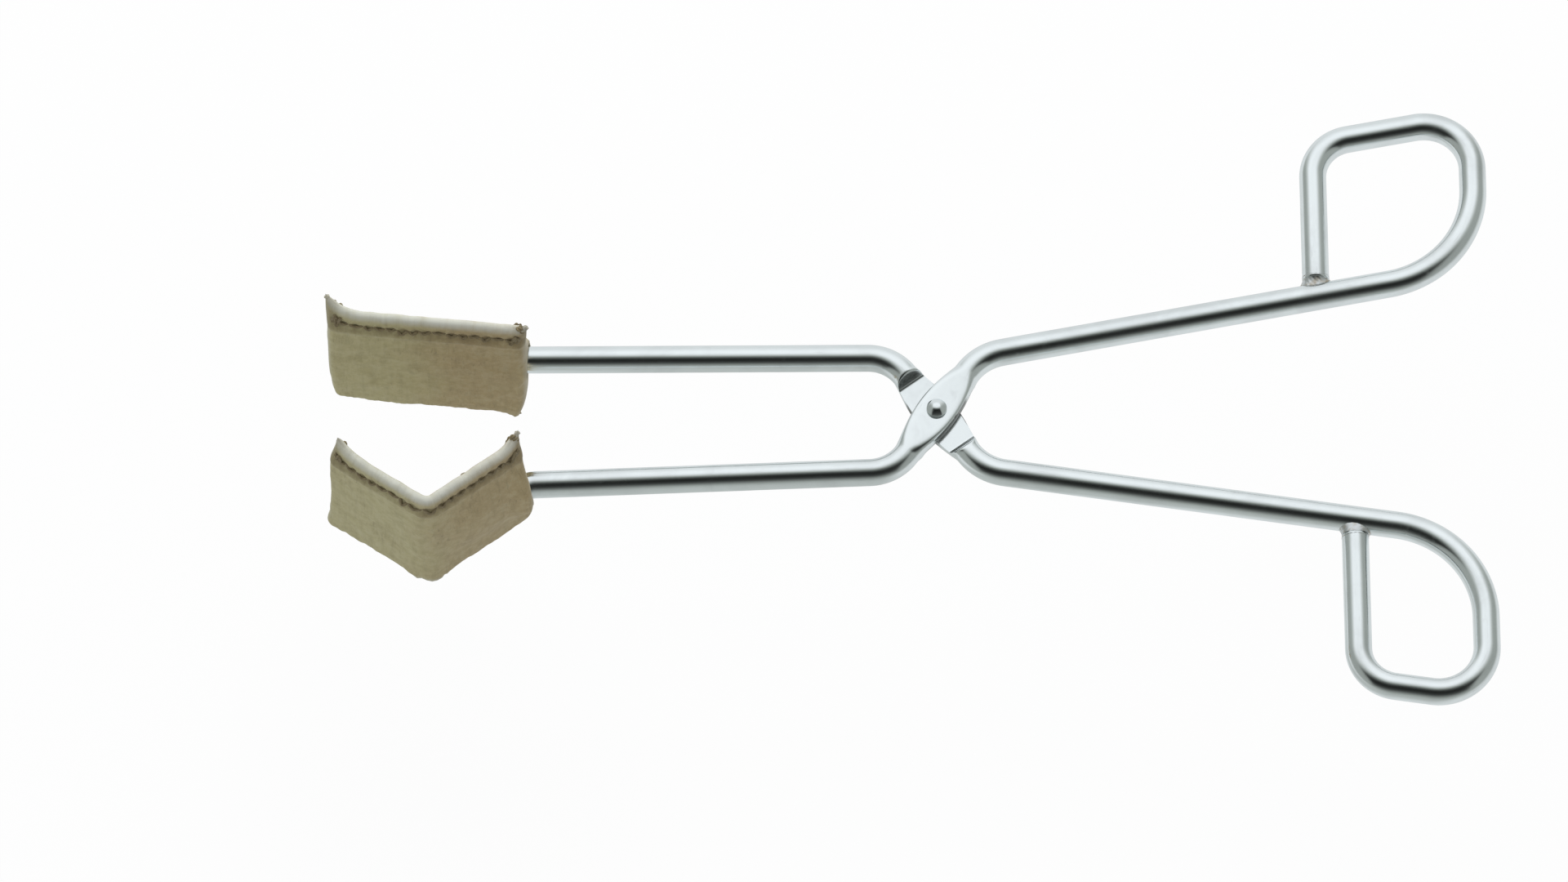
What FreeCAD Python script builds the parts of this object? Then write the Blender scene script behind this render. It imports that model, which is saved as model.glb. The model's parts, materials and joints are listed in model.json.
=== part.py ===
import FreeCAD
import Part
import math
import os
from FreeCAD import Vector

# Flask tongs: two bent round rods cross at a riveted lap joint. Each rod ends in a ring handle
# on one side and in a cloth-covered steel jaw on the other. Lengths in mm, angles in degrees.
# X runs along the tongs towards the handles, Y towards the flat jaw, Z along the rivet.
# The origin is the centre of the grip, level with the rods' middle plane.

# Rod and pivot
rod_d = 7.0
pivot_x = 132.0

# Lap joint, measured from the pivot along the blades
lap_angle = 54.5
lap_reach = 19.9
blade_half_length = 10.5
shoulder_length = 2.4
blade_width = 10.4
blade_thickness = 3.1
blade_gap = 0.1
blade_squareness = 4.0

# Rivet
rivet_shank_d = 3.6
rivet_head_d = 5.2
rivet_head_h = 1.9
rivet_radial_clearance = 0.05
rivet_axial_clearance = 0.05

# Arms on the jaw side of the lap
jaw_arm_spread = 1.0
jaw_bend_r = 12.0

# Arms on the handle side of the lap
handle_spread = 9.7
handle_bend_r = 14.0

# Ring handles, with places measured from the pivot along X
ring_end_x = 140.3
ring_shoulder_r = 27.0
ring_outer_r = 12.5
ring_inner_r = 11.0
thumb_ring_width = 33.1
thumb_ring_height = 46.0
finger_ring_width = 41.4
finger_ring_height = 43.4
weld_gap = 0.4
weld_leg = 1.7
weld_clearance = 0.02

# Flattened tails that carry the jaw plates
tail_thickness = 3.0
tail_width = 9.2
tail_length = 17.0
tail_neck = 0.4
tail_taper = 4.0
tail_squareness = 4.0
tail_tip_r = 5.4
tail_seat_depth = 0.15

# Jaw plates
plate_thickness = 1.5
plate_height = 36.5
plate_corner_r = 3.0
plate_set = 3.0
plate_drop = 1.3

# V jaw, with its plate's near end measured from the rod's last bend
v_leg_angle = 31.5
v_corner_r = 4.5
v_leg_length = 26.8
v_bend_r = 8.0
v_plate_start = 2.71

# Flat jaw, with the place of its rod's last bend measured from the grip centre
flat_bend_x = 26.5
flat_lean = 7.0
flat_bend_r = 30.0
flat_plate_start = 2.0
flat_plate_length = 47.2

# Cloth sleeves
cloth_thickness = 1.55
cloth_clearance = 0.2
sleeve_end_margin = 2.3
sleeve_hem_r = 1.6
sleeve_hole_clearance = 0.45
lip_thickness = 3.2
lip_height = 4.0
lip_taper = 1.6
tent_half_height = 13.0
tent_run = 9.0

# Sewing thread along the lip
stitch_d = 0.7
stitch_length = 2.6
stitch_pitch = 4.3
stitch_drop = 2.4
stitch_end_margin = 3.0
stitch_clearance = 0.02

# Derived sizes
rod_r = rod_d / 2
sleeve_half = plate_thickness / 2 + cloth_clearance + cloth_thickness
plate_bottom = -plate_height / 2 - plate_drop
plate_top = plate_bottom + plate_height
sleeve_bottom = plate_bottom - cloth_clearance - cloth_thickness
lip_bottom = plate_top + cloth_clearance + lip_taper
sleeve_top = lip_bottom + lip_height
tail_inner = plate_set - plate_thickness / 2 + tail_seat_depth
tail_shift = tail_inner - tail_thickness / 2
Z_AXIS = Vector(0, 0, 1)


def heading(angle):
    """Unit vector in the XY plane at an angle from +X."""
    return Vector(math.cos(math.radians(angle)), math.sin(math.radians(angle)), 0)


def meet(p, d, q, e):
    """Point where the line through p along d meets the line through q along e."""
    cross = d.x * e.y - d.y * e.x
    step = ((q.x - p.x) * e.y - (q.y - p.y) * e.x) / cross
    return p + d * step


def rounded_path(points, radii):
    """Wire of straight runs through the points, with a tangent arc at each inner point."""
    edges = []
    start = points[0]
    for before, corner, after, r in zip(points, points[1:], points[2:], radii):
        d_in = (corner - before).normalize()
        d_out = (after - corner).normalize()
        turn = math.acos(max(-1.0, min(1.0, d_in.dot(d_out))))
        run = r * math.tan(turn / 2)
        first = corner - d_in * run
        last = corner + d_out * run
        sagitta = r / math.cos(turn / 2) - r
        middle = corner + (d_out - d_in).normalize() * sagitta
        edges.append(Part.makeLine(start, first))
        edges.append(Part.Arc(first, middle, last).toShape())
        start = last
    edges.append(Part.makeLine(start, points[-1]))
    return Part.Wire(edges)


def tube(path, r):
    """Round bar along a wire that starts straight."""
    first = path.Edges[0]
    start = first.valueAt(first.FirstParameter)
    ring = Part.Wire([Part.makeCircle(r, start, first.tangentAt(first.FirstParameter))])
    return path.makePipeShell([ring], True, False)


def squared_oval(centre, side, half_side, half_z, power):
    """Closed smooth outline |a/half_side|^power + |z/half_z|^power = 1 across a bar."""
    if power == 2 and half_side == half_z:
        circle = Part.Circle(centre, side.cross(Z_AXIS), half_side)
        circle.XAxis = side
        return Part.Wire([circle.toShape()])
    points = []
    count = 16
    for i in range(count):
        a = 2 * math.pi * i / count
        c = math.cos(a)
        s = math.sin(a)
        x = half_side * math.copysign(abs(c) ** (2 / power), c)
        z = half_z * math.copysign(abs(s) ** (2 / power), s)
        points.append(centre + side * x + Z_AXIS * z)
    curve = Part.BSplineCurve()
    curve.interpolate(Points=points, PeriodicFlag=True)
    return Part.Wire([curve.toShape()])


def prism(points, direction):
    """Straight extrusion of a closed polygon."""
    return Part.Face(Part.makePolygon(points + [points[0]])).extrude(direction)


def lap_blade():
    """Middle of an arm: round rod swelling into a flat blade, kept above the lap plane."""
    along = heading(lap_angle)
    across = heading(lap_angle + 90)
    half_z = blade_gap / 2 + blade_thickness
    end = blade_half_length + shoulder_length
    sections = []
    for share in (-1.0, -0.55, 0.0, 0.55, 1.0):
        swell = 1 - share * share
        half_side = rod_r + (blade_width / 2 - rod_r) * swell
        height = rod_r + (half_z - rod_r) * swell
        power = 2 + (blade_squareness - 2) * swell
        sections.append(squared_oval(along * (share * end), across, half_side, height, power))
    blade = Part.makeLoft(sections, True, False)
    top = blade_gap / 2
    deep = -rod_r * 2
    slope = shoulder_length * (top - deep) / (top + rod_r)
    profile = [
        along * -blade_half_length + Z_AXIS * top,
        along * blade_half_length + Z_AXIS * top,
        along * (blade_half_length + slope) + Z_AXIS * deep,
        along * -(blade_half_length + slope) + Z_AXIS * deep,
    ]
    side = across * blade_width
    step = prism([p - side for p in profile], side * 2)
    return blade.cut(step)


def jaw_line_start():
    """Where the blade's line turns into the jaw side of the arm."""
    return heading(lap_angle) * -lap_reach


def jaw_rod_path(corner, tail_angle, bend_r):
    """Middle line of the jaw side of an arm, from the lap to just past the bend at the jaw."""
    lap_end = heading(lap_angle) * -(blade_half_length + shoulder_length)
    tail_start = corner + heading(180 + tail_angle) * tail_start_s(tail_angle, bend_r)
    return rounded_path([lap_end, jaw_line_start(), corner, tail_start], [jaw_bend_r, bend_r])


def tail_start_s(tail_angle, bend_r):
    """Distance from the corner of the rod's last bend to where its tail starts to flatten."""
    turn = math.radians(tail_angle - jaw_arm_spread)
    return bend_r * math.tan(turn / 2) + tail_neck


def flat_tail(corner, tail_angle, bend_r):
    """Tail that tapers from the round rod to a flat strap with a rounded end."""
    d = heading(180 + tail_angle)
    inward = heading(tail_angle + 90)
    start_s = tail_start_s(tail_angle, bend_r)
    start = corner + d * start_s
    strap_half = tail_thickness / 2
    wide_half = tail_width / 2
    flat_start = start + d * tail_taper + inward * tail_shift
    run = tail_length - start_s - tail_taper
    outline = squared_oval(flat_start, inward, strap_half, wide_half, tail_squareness)
    taper = Part.makeLoft([squared_oval(start, inward, rod_r, rod_r, 2), outline], True, True)
    strap = Part.Face(outline).extrude(d * run)
    tip = flat_start + d * (run - tail_tip_r)
    depth = tail_thickness * 4
    disc = Part.makeCylinder(tail_tip_r, depth, tip - inward * (depth / 2), inward)
    side = Z_AXIS * tail_width
    reach = d * (tail_tip_r * 2)
    low = tip - inward * (depth / 2) - side
    block = prism([low, low + reach, low + reach + side * 2, low + side * 2], inward * depth)
    return taper.fuse(strap.cut(block.cut(disc)))


def jaw_pocket(corner, tail_angle, bend_r):
    """Space inside a sleeve for the rod and its flattened tail, with clearance all round."""
    c = cloth_clearance
    d = heading(180 + tail_angle)
    inward = heading(tail_angle + 90)
    start = tail_start_s(tail_angle, bend_r)
    seat = seat_start(tail_angle)
    seat_face = plate_set - plate_thickness / 2
    outer = tail_shift - tail_thickness / 2 - c
    outline = [
        (start - c, -rod_r - c),
        (start + tail_taper, outer),
        (tail_length + c, outer),
        (tail_length + c, seat_face),
        (seat, seat_face),
        (seat, rod_r + c),
        (start - c, rod_r + c),
    ]
    half = Z_AXIS * (tail_width / 2 + c)
    points = [corner + d * s + inward * t - half for s, t in outline]
    rod_hole = bar(corner - d * rod_d, corner + d * (start + tail_taper), rod_r + sleeve_hole_clearance)
    return rod_hole.fuse(prism(points, half * 2))


def handle_rod(ring_width, ring_height):
    """Round bar from the lap along the handle and round the ring back to the handle."""
    lap_end = heading(lap_angle) * (blade_half_length + shoulder_length)
    corner = heading(lap_angle) * lap_reach
    d = heading(handle_spread)
    shoulder = meet(corner, d, Vector(ring_end_x, 0, 0), Vector(0, 1, 0))
    outer = shoulder + Vector(0, ring_height, 0)
    far = meet(outer, d, Vector(ring_end_x - ring_width, 0, 0), Vector(0, 1, 0))
    foot = ring_foot(ring_width)
    stop = foot + Vector(0, weld_gap, 0)
    radii = [handle_bend_r, ring_shoulder_r, ring_outer_r, ring_inner_r]
    return tube(rounded_path([lap_end, corner, shoulder, outer, far, stop], radii), rod_r)


def ring_foot(ring_width):
    """Point on the handle's surface under the ring's closing end, at its highest side."""
    corner = heading(lap_angle) * lap_reach
    on_axis = meet(corner, heading(handle_spread), Vector(ring_end_x - ring_width, 0, 0), Vector(0, 1, 0))
    rise = rod_r / math.cos(math.radians(handle_spread)) + rod_r * math.tan(math.radians(handle_spread))
    return on_axis + Vector(0, rise, 0)


def ring_weld(ring_width):
    """Weld bead that closes the ring: a filler under the end with a fillet round it."""
    foot = ring_foot(ring_width)
    corner = heading(lap_angle) * lap_reach
    handle_end = corner + heading(handle_spread) * ring_end_x
    top = foot + Vector(0, weld_gap + weld_leg, 0)
    deep = foot - Vector(0, rod_d, 0)
    cone = Part.makeCone(rod_r + weld_leg * 2, rod_r + weld_clearance * 2, top.y - deep.y, deep, Vector(0, 1, 0))
    bead = cone.common(bar(corner, handle_end, rod_r + weld_leg))
    handle = bar(corner, handle_end, rod_r + weld_clearance)
    ring_end = bar(foot + Vector(0, weld_gap - weld_clearance, 0), top + Vector(0, rod_d, 0), rod_r + weld_clearance)
    solids = bead.cut(handle).cut(ring_end).Solids
    return max(solids, key=lambda solid: solid.BoundBox.YMax)


def bar(p, q, r):
    """Straight cylinder from p to q."""
    return Part.makeCylinder(r, p.distanceToPoint(q), p, q - p)


def jaw_seat(corner, d, tail_angle):
    """Space of the plate and the sleeve's inner layer, taken off the tail so the plate seats flat."""
    inward = heading(tail_angle + 90)
    face = inward * (plate_set - plate_thickness / 2)
    deep = inward * rod_d
    start = corner + d * seat_start(tail_angle)
    end = corner + d * (tail_length * 2)
    low = Z_AXIS * -plate_height
    outline = [start + face + low, end + face + low, end + face + deep + low, start + face + deep + low]
    return prism(outline, Z_AXIS * (plate_height * 2))


def seat_start(tail_angle):
    """Distance from the rod's last bend to the near end of the plate."""
    if tail_angle == v_leg_angle:
        return v_plate_start - cloth_clearance
    return flat_plate_start - cloth_clearance


def make_arm(corner, tail_angle, bend_r, ring_width, ring_height):
    """One arm in its own pivot frame: blade above the lap plane, jaw at -Y, ring at +Y."""
    d = heading(180 + tail_angle)
    jaw_rod = tube(jaw_rod_path(corner, tail_angle, bend_r), rod_r).fuse(flat_tail(corner, tail_angle, bend_r))
    arm = lap_blade().fuse(jaw_rod).fuse(handle_rod(ring_width, ring_height))
    return arm.cut(jaw_seat(corner, d, tail_angle))


# Places of the rods' last bends and of the V jaw's corner, in each arm's own pivot frame. The corner
# is below the grip centre, and the leg's length, its slope and the rod's line set how far below.
jaw_heading = heading(180 + jaw_arm_spread)
v_reach = heading(v_leg_angle) * (v_leg_length + v_plate_start)
v_offset = v_reach - heading(v_leg_angle + 90) * plate_set
v_rod_x = Vector(v_offset.x - pivot_x, 0, 0)
v_rod_corner = meet(jaw_line_start(), jaw_heading, v_rod_x, Vector(0, 1, 0))
v_corner = v_rod_corner - v_offset
flat_rod_corner = meet(jaw_line_start(), jaw_heading, Vector(flat_bend_x - pivot_x, 0, 0), Vector(0, 1, 0))


def v_path(leg):
    """Middle line of the V jaw from its far end to its near end."""
    far = v_corner + heading(180 - v_leg_angle) * leg
    near = v_corner + heading(v_leg_angle) * leg
    return rounded_path([far, v_corner, near], [v_corner_r])


def band(path, half_t, low, high):
    """Rectangular band swept along a plan path, standing on the plane z = low."""
    first = path.Edges[0]
    start = first.valueAt(first.FirstParameter)
    across = first.tangentAt(first.FirstParameter).cross(Z_AXIS)
    corners = [
        start + across * half_t + Z_AXIS * low,
        start + across * half_t + Z_AXIS * high,
        start - across * half_t + Z_AXIS * high,
        start - across * half_t + Z_AXIS * low,
    ]
    outline = Part.makePolygon(corners + [corners[0]])
    return path.makePipeShell([outline], True, False)


def round_plate_corners(plate):
    """Round the four corners at the plate's ends."""
    edges = []
    tops = (plate_bottom, plate_top)
    for edge in plate.Edges:
        if abs(edge.Length - plate_thickness) > plate_thickness / 10:
            continue
        middle = edge.CenterOfMass
        if min(abs(middle.z - top) for top in tops) < plate_corner_r / 10:
            edges.append(edge)
    return plate.makeFillet(plate_corner_r, edges)


def sleeve_outline(start, across):
    """Cross-section of a sleeve: folded hem below, tapering to a sewn lip above."""
    hem = sleeve_hem_r
    lip = lip_thickness / 2
    lip_edge = lip * 0.5
    right = [
        (sleeve_half - hem, sleeve_bottom),
        (sleeve_half - hem * 0.3, sleeve_bottom + hem * 0.3),
        (sleeve_half, sleeve_bottom + hem),
        (sleeve_half, lip_bottom - lip_taper),
        (lip, lip_bottom),
        (lip, sleeve_top - lip_edge),
        (lip - lip_edge * 0.3, sleeve_top - lip_edge * 0.3),
        (lip - lip_edge, sleeve_top),
    ]
    left = [(-side, z) for side, z in reversed(right)]
    points = [start + across * side + Z_AXIS * z for side, z in right + left]
    return Part.makePolygon(points + [points[0]])


def sleeve_body(path):
    """Outer form of a sleeve swept along the middle line of its plate."""
    first = path.Edges[0]
    start = first.valueAt(first.FirstParameter)
    across = first.tangentAt(first.FirstParameter).cross(Z_AXIS)
    return path.makePipeShell([sleeve_outline(start, across)], True, False)


def tent(corner, tail_angle, mouth):
    """Cloth stretched over the rod and its flat tail, fading out past the tail's end."""
    d = heading(180 + tail_angle)
    inward = heading(tail_angle + 90)
    core = inward * (plate_set - sleeve_half / 2)
    cover = cloth_clearance + cloth_thickness
    over_rod = rod_r + cover + core.dot(inward)
    over_tail = tail_thickness - tail_inner + cover + core.dot(inward)
    flush = sleeve_half * 0.4
    flat_start = mouth + tail_taper + cloth_thickness
    stations = [
        (mouth, over_rod, tent_half_height),
        (flat_start, over_tail, tent_half_height),
        (tail_length + cover, over_tail, tent_half_height),
        (tail_length + cover + tent_run, flush, tent_half_height * 0.5),
    ]
    rings = []
    for s, depth, half_z in stations:
        rings.append(squared_oval(corner + d * s + core, inward, depth, half_z, 2))
    block_low = corner + d * (mouth - rod_d) + core
    block_high = corner + d * (tail_length + tent_run * 3) + core
    deep = inward * rod_d * 3
    drop = Z_AXIS * plate_height
    behind = prism(
        [block_low - drop, block_high - drop, block_high - drop + deep, block_low - drop + deep],
        drop * 2,
    )
    return Part.makeLoft(rings, True, True).cut(behind)


def stitches(path, z):
    """Running stitches on the two faces of the lip, in turn."""
    solids = []
    length = path.Length
    count = int((length - 2 * stitch_end_margin) // stitch_pitch)
    margin = (length - count * stitch_pitch) / 2
    off = lip_thickness / 2 + stitch_d / 2 + stitch_clearance
    for i in range(count + 1):
        centre, d, straight = point_on(path, margin + i * stitch_pitch)
        if not straight:
            continue
        side = d.cross(Z_AXIS) * (off if i % 2 else -off)
        low = centre + side - d * (stitch_length / 2) + Z_AXIS * z
        solids.append(eight_sided(low, side.normalize(), stitch_d / 2).extrude(d * stitch_length))
    return Part.makeCompound(solids)


def eight_sided(centre, side, r):
    """Face of a regular octagon with two sides square to the given direction."""
    corners = []
    for i in range(8):
        a = math.radians(22.5 + 45 * i)
        reach = r / math.cos(math.radians(22.5))
        corners.append(centre + side * (reach * math.cos(a)) + Z_AXIS * (reach * math.sin(a)))
    return Part.Face(Part.makePolygon(corners + [corners[0]]))


def point_on(path, s):
    """Point, direction and straightness of a plan path at a distance along it."""
    for edge in path.Edges:
        if s <= edge.Length:
            u = edge.getParameterByLength(s)
            room = min(s, edge.Length - s) > stitch_length / 2
            return edge.valueAt(u), edge.tangentAt(u), room and isinstance(edge.Curve, Part.Line)
        s = s - edge.Length
    last = path.Edges[-1]
    return last.valueAt(last.LastParameter), last.tangentAt(last.LastParameter), False


def rivet():
    """Domed rivet through both blades, headed at each end."""
    seat = blade_gap / 2 + blade_thickness + rivet_axial_clearance
    shank = bar(Vector(0, 0, -seat), Vector(0, 0, seat), rivet_shank_d / 2)
    return shank.fuse(rivet_head(seat, 1)).fuse(rivet_head(seat, -1)).removeSplitter()


def rivet_head(seat, side):
    """Low dome with a short straight rim."""
    r = rivet_head_d / 2
    rim = rivet_head_h * 0.2
    rise = rivet_head_h - rim
    ball = (r * r + rise * rise) / (2 * rise)
    angle = math.asin(r / ball) / 2
    top = side * (seat + rivet_head_h)
    centre = top - side * ball
    mid = Vector(ball * math.sin(angle), 0, centre + side * ball * math.cos(angle))
    wire = Part.Wire(
        [
            Part.makeLine(Vector(0, 0, side * seat), Vector(r, 0, side * seat)),
            Part.makeLine(Vector(r, 0, side * seat), Vector(r, 0, side * (seat + rim))),
            Part.Arc(Vector(r, 0, side * (seat + rim)), mid, Vector(0, 0, top)).toShape(),
            Part.makeLine(Vector(0, 0, top), Vector(0, 0, side * seat)),
        ]
    )
    return Part.Face(wire).revolve(Vector(0, 0, 0), Z_AXIS, 360)


def placed(shape, rear):
    """Shape moved from its arm's pivot frame to the tongs' frame; the rear arm is turned over."""
    result = shape.copy()
    if rear:
        result.rotate(Vector(0, 0, 0), Vector(1, 0, 0), 180)
    result.translate(Vector(pivot_x, 0, 0))
    return result


# Arms with their pivot holes. The rivet is tight in the rear arm and turns in the front arm.
hole_depth = rod_d * 2
front_hole = bar(
    Vector(0, 0, -hole_depth), Vector(0, 0, hole_depth), rivet_shank_d / 2 + rivet_radial_clearance
)
rear_hole = bar(Vector(0, 0, -hole_depth), Vector(0, 0, hole_depth), rivet_shank_d / 2)
front_local = make_arm(v_rod_corner, v_leg_angle, v_bend_r, finger_ring_width, finger_ring_height)
front_local = front_local.cut(front_hole)
rear_local = make_arm(flat_rod_corner, flat_lean, flat_bend_r, thumb_ring_width, thumb_ring_height)
rear_local = rear_local.cut(rear_hole)

# Jaw plates
v_plate = round_plate_corners(band(v_path(v_leg_length), plate_thickness / 2, plate_bottom, plate_top))
flat_d = heading(180 + flat_lean)
flat_inward = heading(flat_lean + 90)
flat_mid = flat_rod_corner + flat_inward * plate_set


def flat_path(start, end):
    """Middle line of the flat jaw between two distances from the rod's last bend."""
    return Part.Wire([Part.makeLine(flat_mid + flat_d * start, flat_mid + flat_d * end)])


flat_end = flat_plate_start + flat_plate_length
# The rear arm is turned over, so its jaw's heights are written upside down here.
flat_plate = round_plate_corners(
    band(flat_path(flat_plate_start, flat_end), plate_thickness / 2, plate_bottom, plate_top)
)

# Sleeves
v_sleeve_path = v_path(v_leg_length + sleeve_end_margin)
v_mouth = v_plate_start - sleeve_end_margin
v_cavity = band(
    v_path(v_leg_length + cloth_clearance),
    plate_thickness / 2 + cloth_clearance,
    plate_bottom - cloth_clearance,
    plate_top + cloth_clearance,
)
v_pocket = jaw_pocket(v_rod_corner, v_leg_angle, v_bend_r)
v_sleeve = sleeve_body(v_sleeve_path).fuse(tent(v_rod_corner, v_leg_angle, v_mouth))
v_sleeve = v_sleeve.cut(v_cavity.fuse(v_pocket)).removeSplitter()

flat_mouth = flat_plate_start - sleeve_end_margin
flat_sleeve_path = flat_path(flat_mouth, flat_end + sleeve_end_margin)
flat_cavity = band(
    flat_path(flat_plate_start - cloth_clearance, flat_end + cloth_clearance),
    plate_thickness / 2 + cloth_clearance,
    plate_bottom - cloth_clearance,
    plate_top + cloth_clearance,
)
flat_pocket = jaw_pocket(flat_rod_corner, flat_lean, flat_bend_r)
flat_sleeve = sleeve_body(flat_sleeve_path).fuse(tent(flat_rod_corner, flat_lean, flat_mouth))
flat_sleeve = flat_sleeve.cut(flat_cavity.fuse(flat_pocket)).removeSplitter()

# Sewing thread
seam_z = sleeve_top - stitch_drop
v_thread = stitches(v_sleeve_path, seam_z)
flat_thread = stitches(flat_sleeve_path, seam_z)


def flipped(shape):
    """Mirror image in the rods' middle plane."""
    return shape.mirror(Vector(0, 0, 0), Z_AXIS)


parts = {
    "front_arm": placed(front_local, False),
    "rear_arm": placed(rear_local, True),
    "pivot_rivet": placed(rivet(), False),
    "v_jaw_plate": placed(v_plate, False),
    "flat_jaw_plate": placed(flipped(flat_plate), True),
    "v_jaw_sleeve": placed(v_sleeve, False),
    "flat_jaw_sleeve": placed(flipped(flat_sleeve), True),
    "v_jaw_thread": placed(v_thread, False),
    "flat_jaw_thread": placed(flipped(flat_thread), True),
    "finger_ring_weld": placed(ring_weld(finger_ring_width), False),
    "thumb_ring_weld": placed(ring_weld(thumb_ring_width), True),
}

os.makedirs("parts", exist_ok=True)
for node, shape in parts.items():
    box = shape.BoundBox
    print(node, len(shape.Solids), shape.isValid(), round(shape.Volume, 1))
    print("  ", [round(v, 2) for v in (box.XMin, box.XMax, box.YMin, box.YMax, box.ZMin, box.ZMax)])
    shape.exportStep("parts/" + node + ".step")
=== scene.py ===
"""Flask tongs: polished steel arms on a rivet, welded ring handles, and two cloth-covered jaws.

Laid out as a Blender add-on and run as a script. Plan routes are worked out in mm in each arm's
own pivot frame and put into the meshes in metres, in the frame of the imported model.
"""

import json
import math
from types import SimpleNamespace

import bpy
import numpy as np
from bpy.props import FloatProperty, FloatVectorProperty, PointerProperty
from mathutils import Matrix, Vector


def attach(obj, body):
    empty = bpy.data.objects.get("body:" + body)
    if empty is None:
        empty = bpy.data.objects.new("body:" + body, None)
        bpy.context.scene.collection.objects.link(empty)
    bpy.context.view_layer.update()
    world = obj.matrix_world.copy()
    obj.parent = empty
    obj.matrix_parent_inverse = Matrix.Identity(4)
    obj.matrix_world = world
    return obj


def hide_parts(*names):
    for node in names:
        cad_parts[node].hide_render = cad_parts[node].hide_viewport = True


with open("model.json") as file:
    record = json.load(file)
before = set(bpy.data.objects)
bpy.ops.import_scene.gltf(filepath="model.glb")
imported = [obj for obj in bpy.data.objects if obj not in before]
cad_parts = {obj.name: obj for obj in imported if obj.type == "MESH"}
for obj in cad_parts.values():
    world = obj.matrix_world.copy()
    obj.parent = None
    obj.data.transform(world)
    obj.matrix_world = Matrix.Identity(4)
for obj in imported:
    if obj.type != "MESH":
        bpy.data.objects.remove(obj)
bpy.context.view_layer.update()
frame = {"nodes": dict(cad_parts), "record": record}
pivot_m = frame["record"]["behaviour"]["joints"][0]["pos_m"]

bl_info = {
    "name": "Flask Tongs",
    "version": (1, 0, 0),
    "blender": (4, 5, 0),
    "location": "View3D > Sidebar > Tongs",
    "description": "Builds ring-handled flask tongs with cloth-covered jaws",
    "category": "Object",
}


def length(name, text, value, least=0.0, most=2.0):
    """A property that holds a length in metres."""
    return FloatProperty(
        name=name, description=text, default=value, min=least, max=most, unit="LENGTH", precision=5
    )


def angle(name, text, degrees):
    """A property that holds an angle, shown in degrees."""
    return FloatProperty(
        name=name, description=text, default=math.radians(degrees), subtype="ANGLE", unit="ROTATION"
    )


def share(name, text, value, most=1.0):
    """A property that holds a plain number from 0 up."""
    return FloatProperty(name=name, description=text, default=value, min=0.0, max=most, precision=3)


def watts(name, text, value):
    """A property that holds a lamp's power."""
    return FloatProperty(name=name, description=text, default=value, min=0.0, unit="POWER")


def tint(name, text, value):
    """A property that holds a colour in linear light."""
    return FloatVectorProperty(
        name=name, description=text, default=value, min=0.0, max=1.0, size=3, subtype="COLOR"
    )


class TongsRods(bpy.types.PropertyGroup):
    """Sizes of the two bent rods and their lap joint."""

    rod_diameter: length("Rod diameter", "Diameter of the round bar", 0.007)
    pivot_distance: length("Pivot distance", "From the grip's centre to the rivet", pivot_m[0])
    lap_angle: angle("Lap angle", "Slope of the blades in plan", 54.5)
    lap_reach: length("Lap reach", "From the rivet to the bend on each side", 0.0199)
    blade_half_length: length("Blade half length", "Flat part of a blade on each side", 0.0105)
    swell_half_length: length("Swell half length", "Where the rod starts to widen", 0.0138)
    shoulder_length: length("Shoulder length", "Run of the sloped step at a blade's end", 0.0024)
    shoulder_foot: length("Shoulder foot", "Rounding where a shoulder meets its blade", 0.0012)
    blade_width: length("Blade width", "Widest part of a blade", 0.0104)
    blade_thickness: length("Blade thickness", "Half of the lap", 0.0031)
    blade_gap: length("Blade gap", "Space between the blades", 0.0001)
    blade_squareness: share("Blade squareness", "Power of the blade's outline", 8.0, 12.0)
    jaw_arm_spread: angle("Jaw arm spread", "Slope of the rods towards the jaws", 1.0)
    jaw_bend_radius: length("Jaw bend radius", "Bend between lap and jaw rod", 0.012)
    handle_spread: angle("Handle spread", "Slope of the rods towards the rings", 9.7)
    handle_bend_radius: length("Handle bend radius", "Bend between lap and handle", 0.014)
    ring_end: length("Ring end", "From the rivet to the rings' far side", 0.1403)
    ring_shoulder_radius: length("Ring shoulder radius", "First bend of a ring", 0.027)
    ring_outer_radius: length("Ring outer radius", "Second bend of a ring", 0.0125)
    ring_inner_radius: length("Ring inner radius", "Third bend of a ring", 0.011)
    thumb_ring_width: length("Thumb ring width", "Width of the thumb ring", 0.0331)
    thumb_ring_height: length("Thumb ring height", "Height of the thumb ring", 0.046)
    finger_ring_width: length("Finger ring width", "Width of the finger ring", 0.0414)
    finger_ring_height: length("Finger ring height", "Height of the finger ring", 0.0434)
    weld_gap: length("Weld gap", "Between a ring's end and its handle", 0.0004)
    bead_length: length("Weld length", "From a ring's end to the weld's edge on it", 0.0008)
    tail_thickness: length("Tail thickness", "Flattened end inside a jaw", 0.003)
    tail_width: length("Tail width", "Width of the flattened end", 0.0092)
    tail_length: length("Tail length", "From the last bend to the rod's end", 0.017)
    tail_taper: length("Tail taper", "Run from round to flat", 0.004)
    tail_tip: length("Tail tip", "Radius of the rod's end", 0.0054)
    tail_shift: length("Tail shift", "How far the flat part is set inwards", 0.0009)
    waver: length("Waver", "Unevenness of the drawn rod's surface", 0.000012)


class TongsRivet(bpy.types.PropertyGroup):
    """Sizes of the rivet."""

    shank_diameter: length("Shank diameter", "Diameter between the heads", 0.0036)
    head_diameter: length("Head diameter", "Diameter of the domes", 0.0052)
    head_height: length("Head height", "Height of the domes", 0.0019)
    axial_clearance: length("Axial clearance", "Space under the heads", 0.00005)


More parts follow.
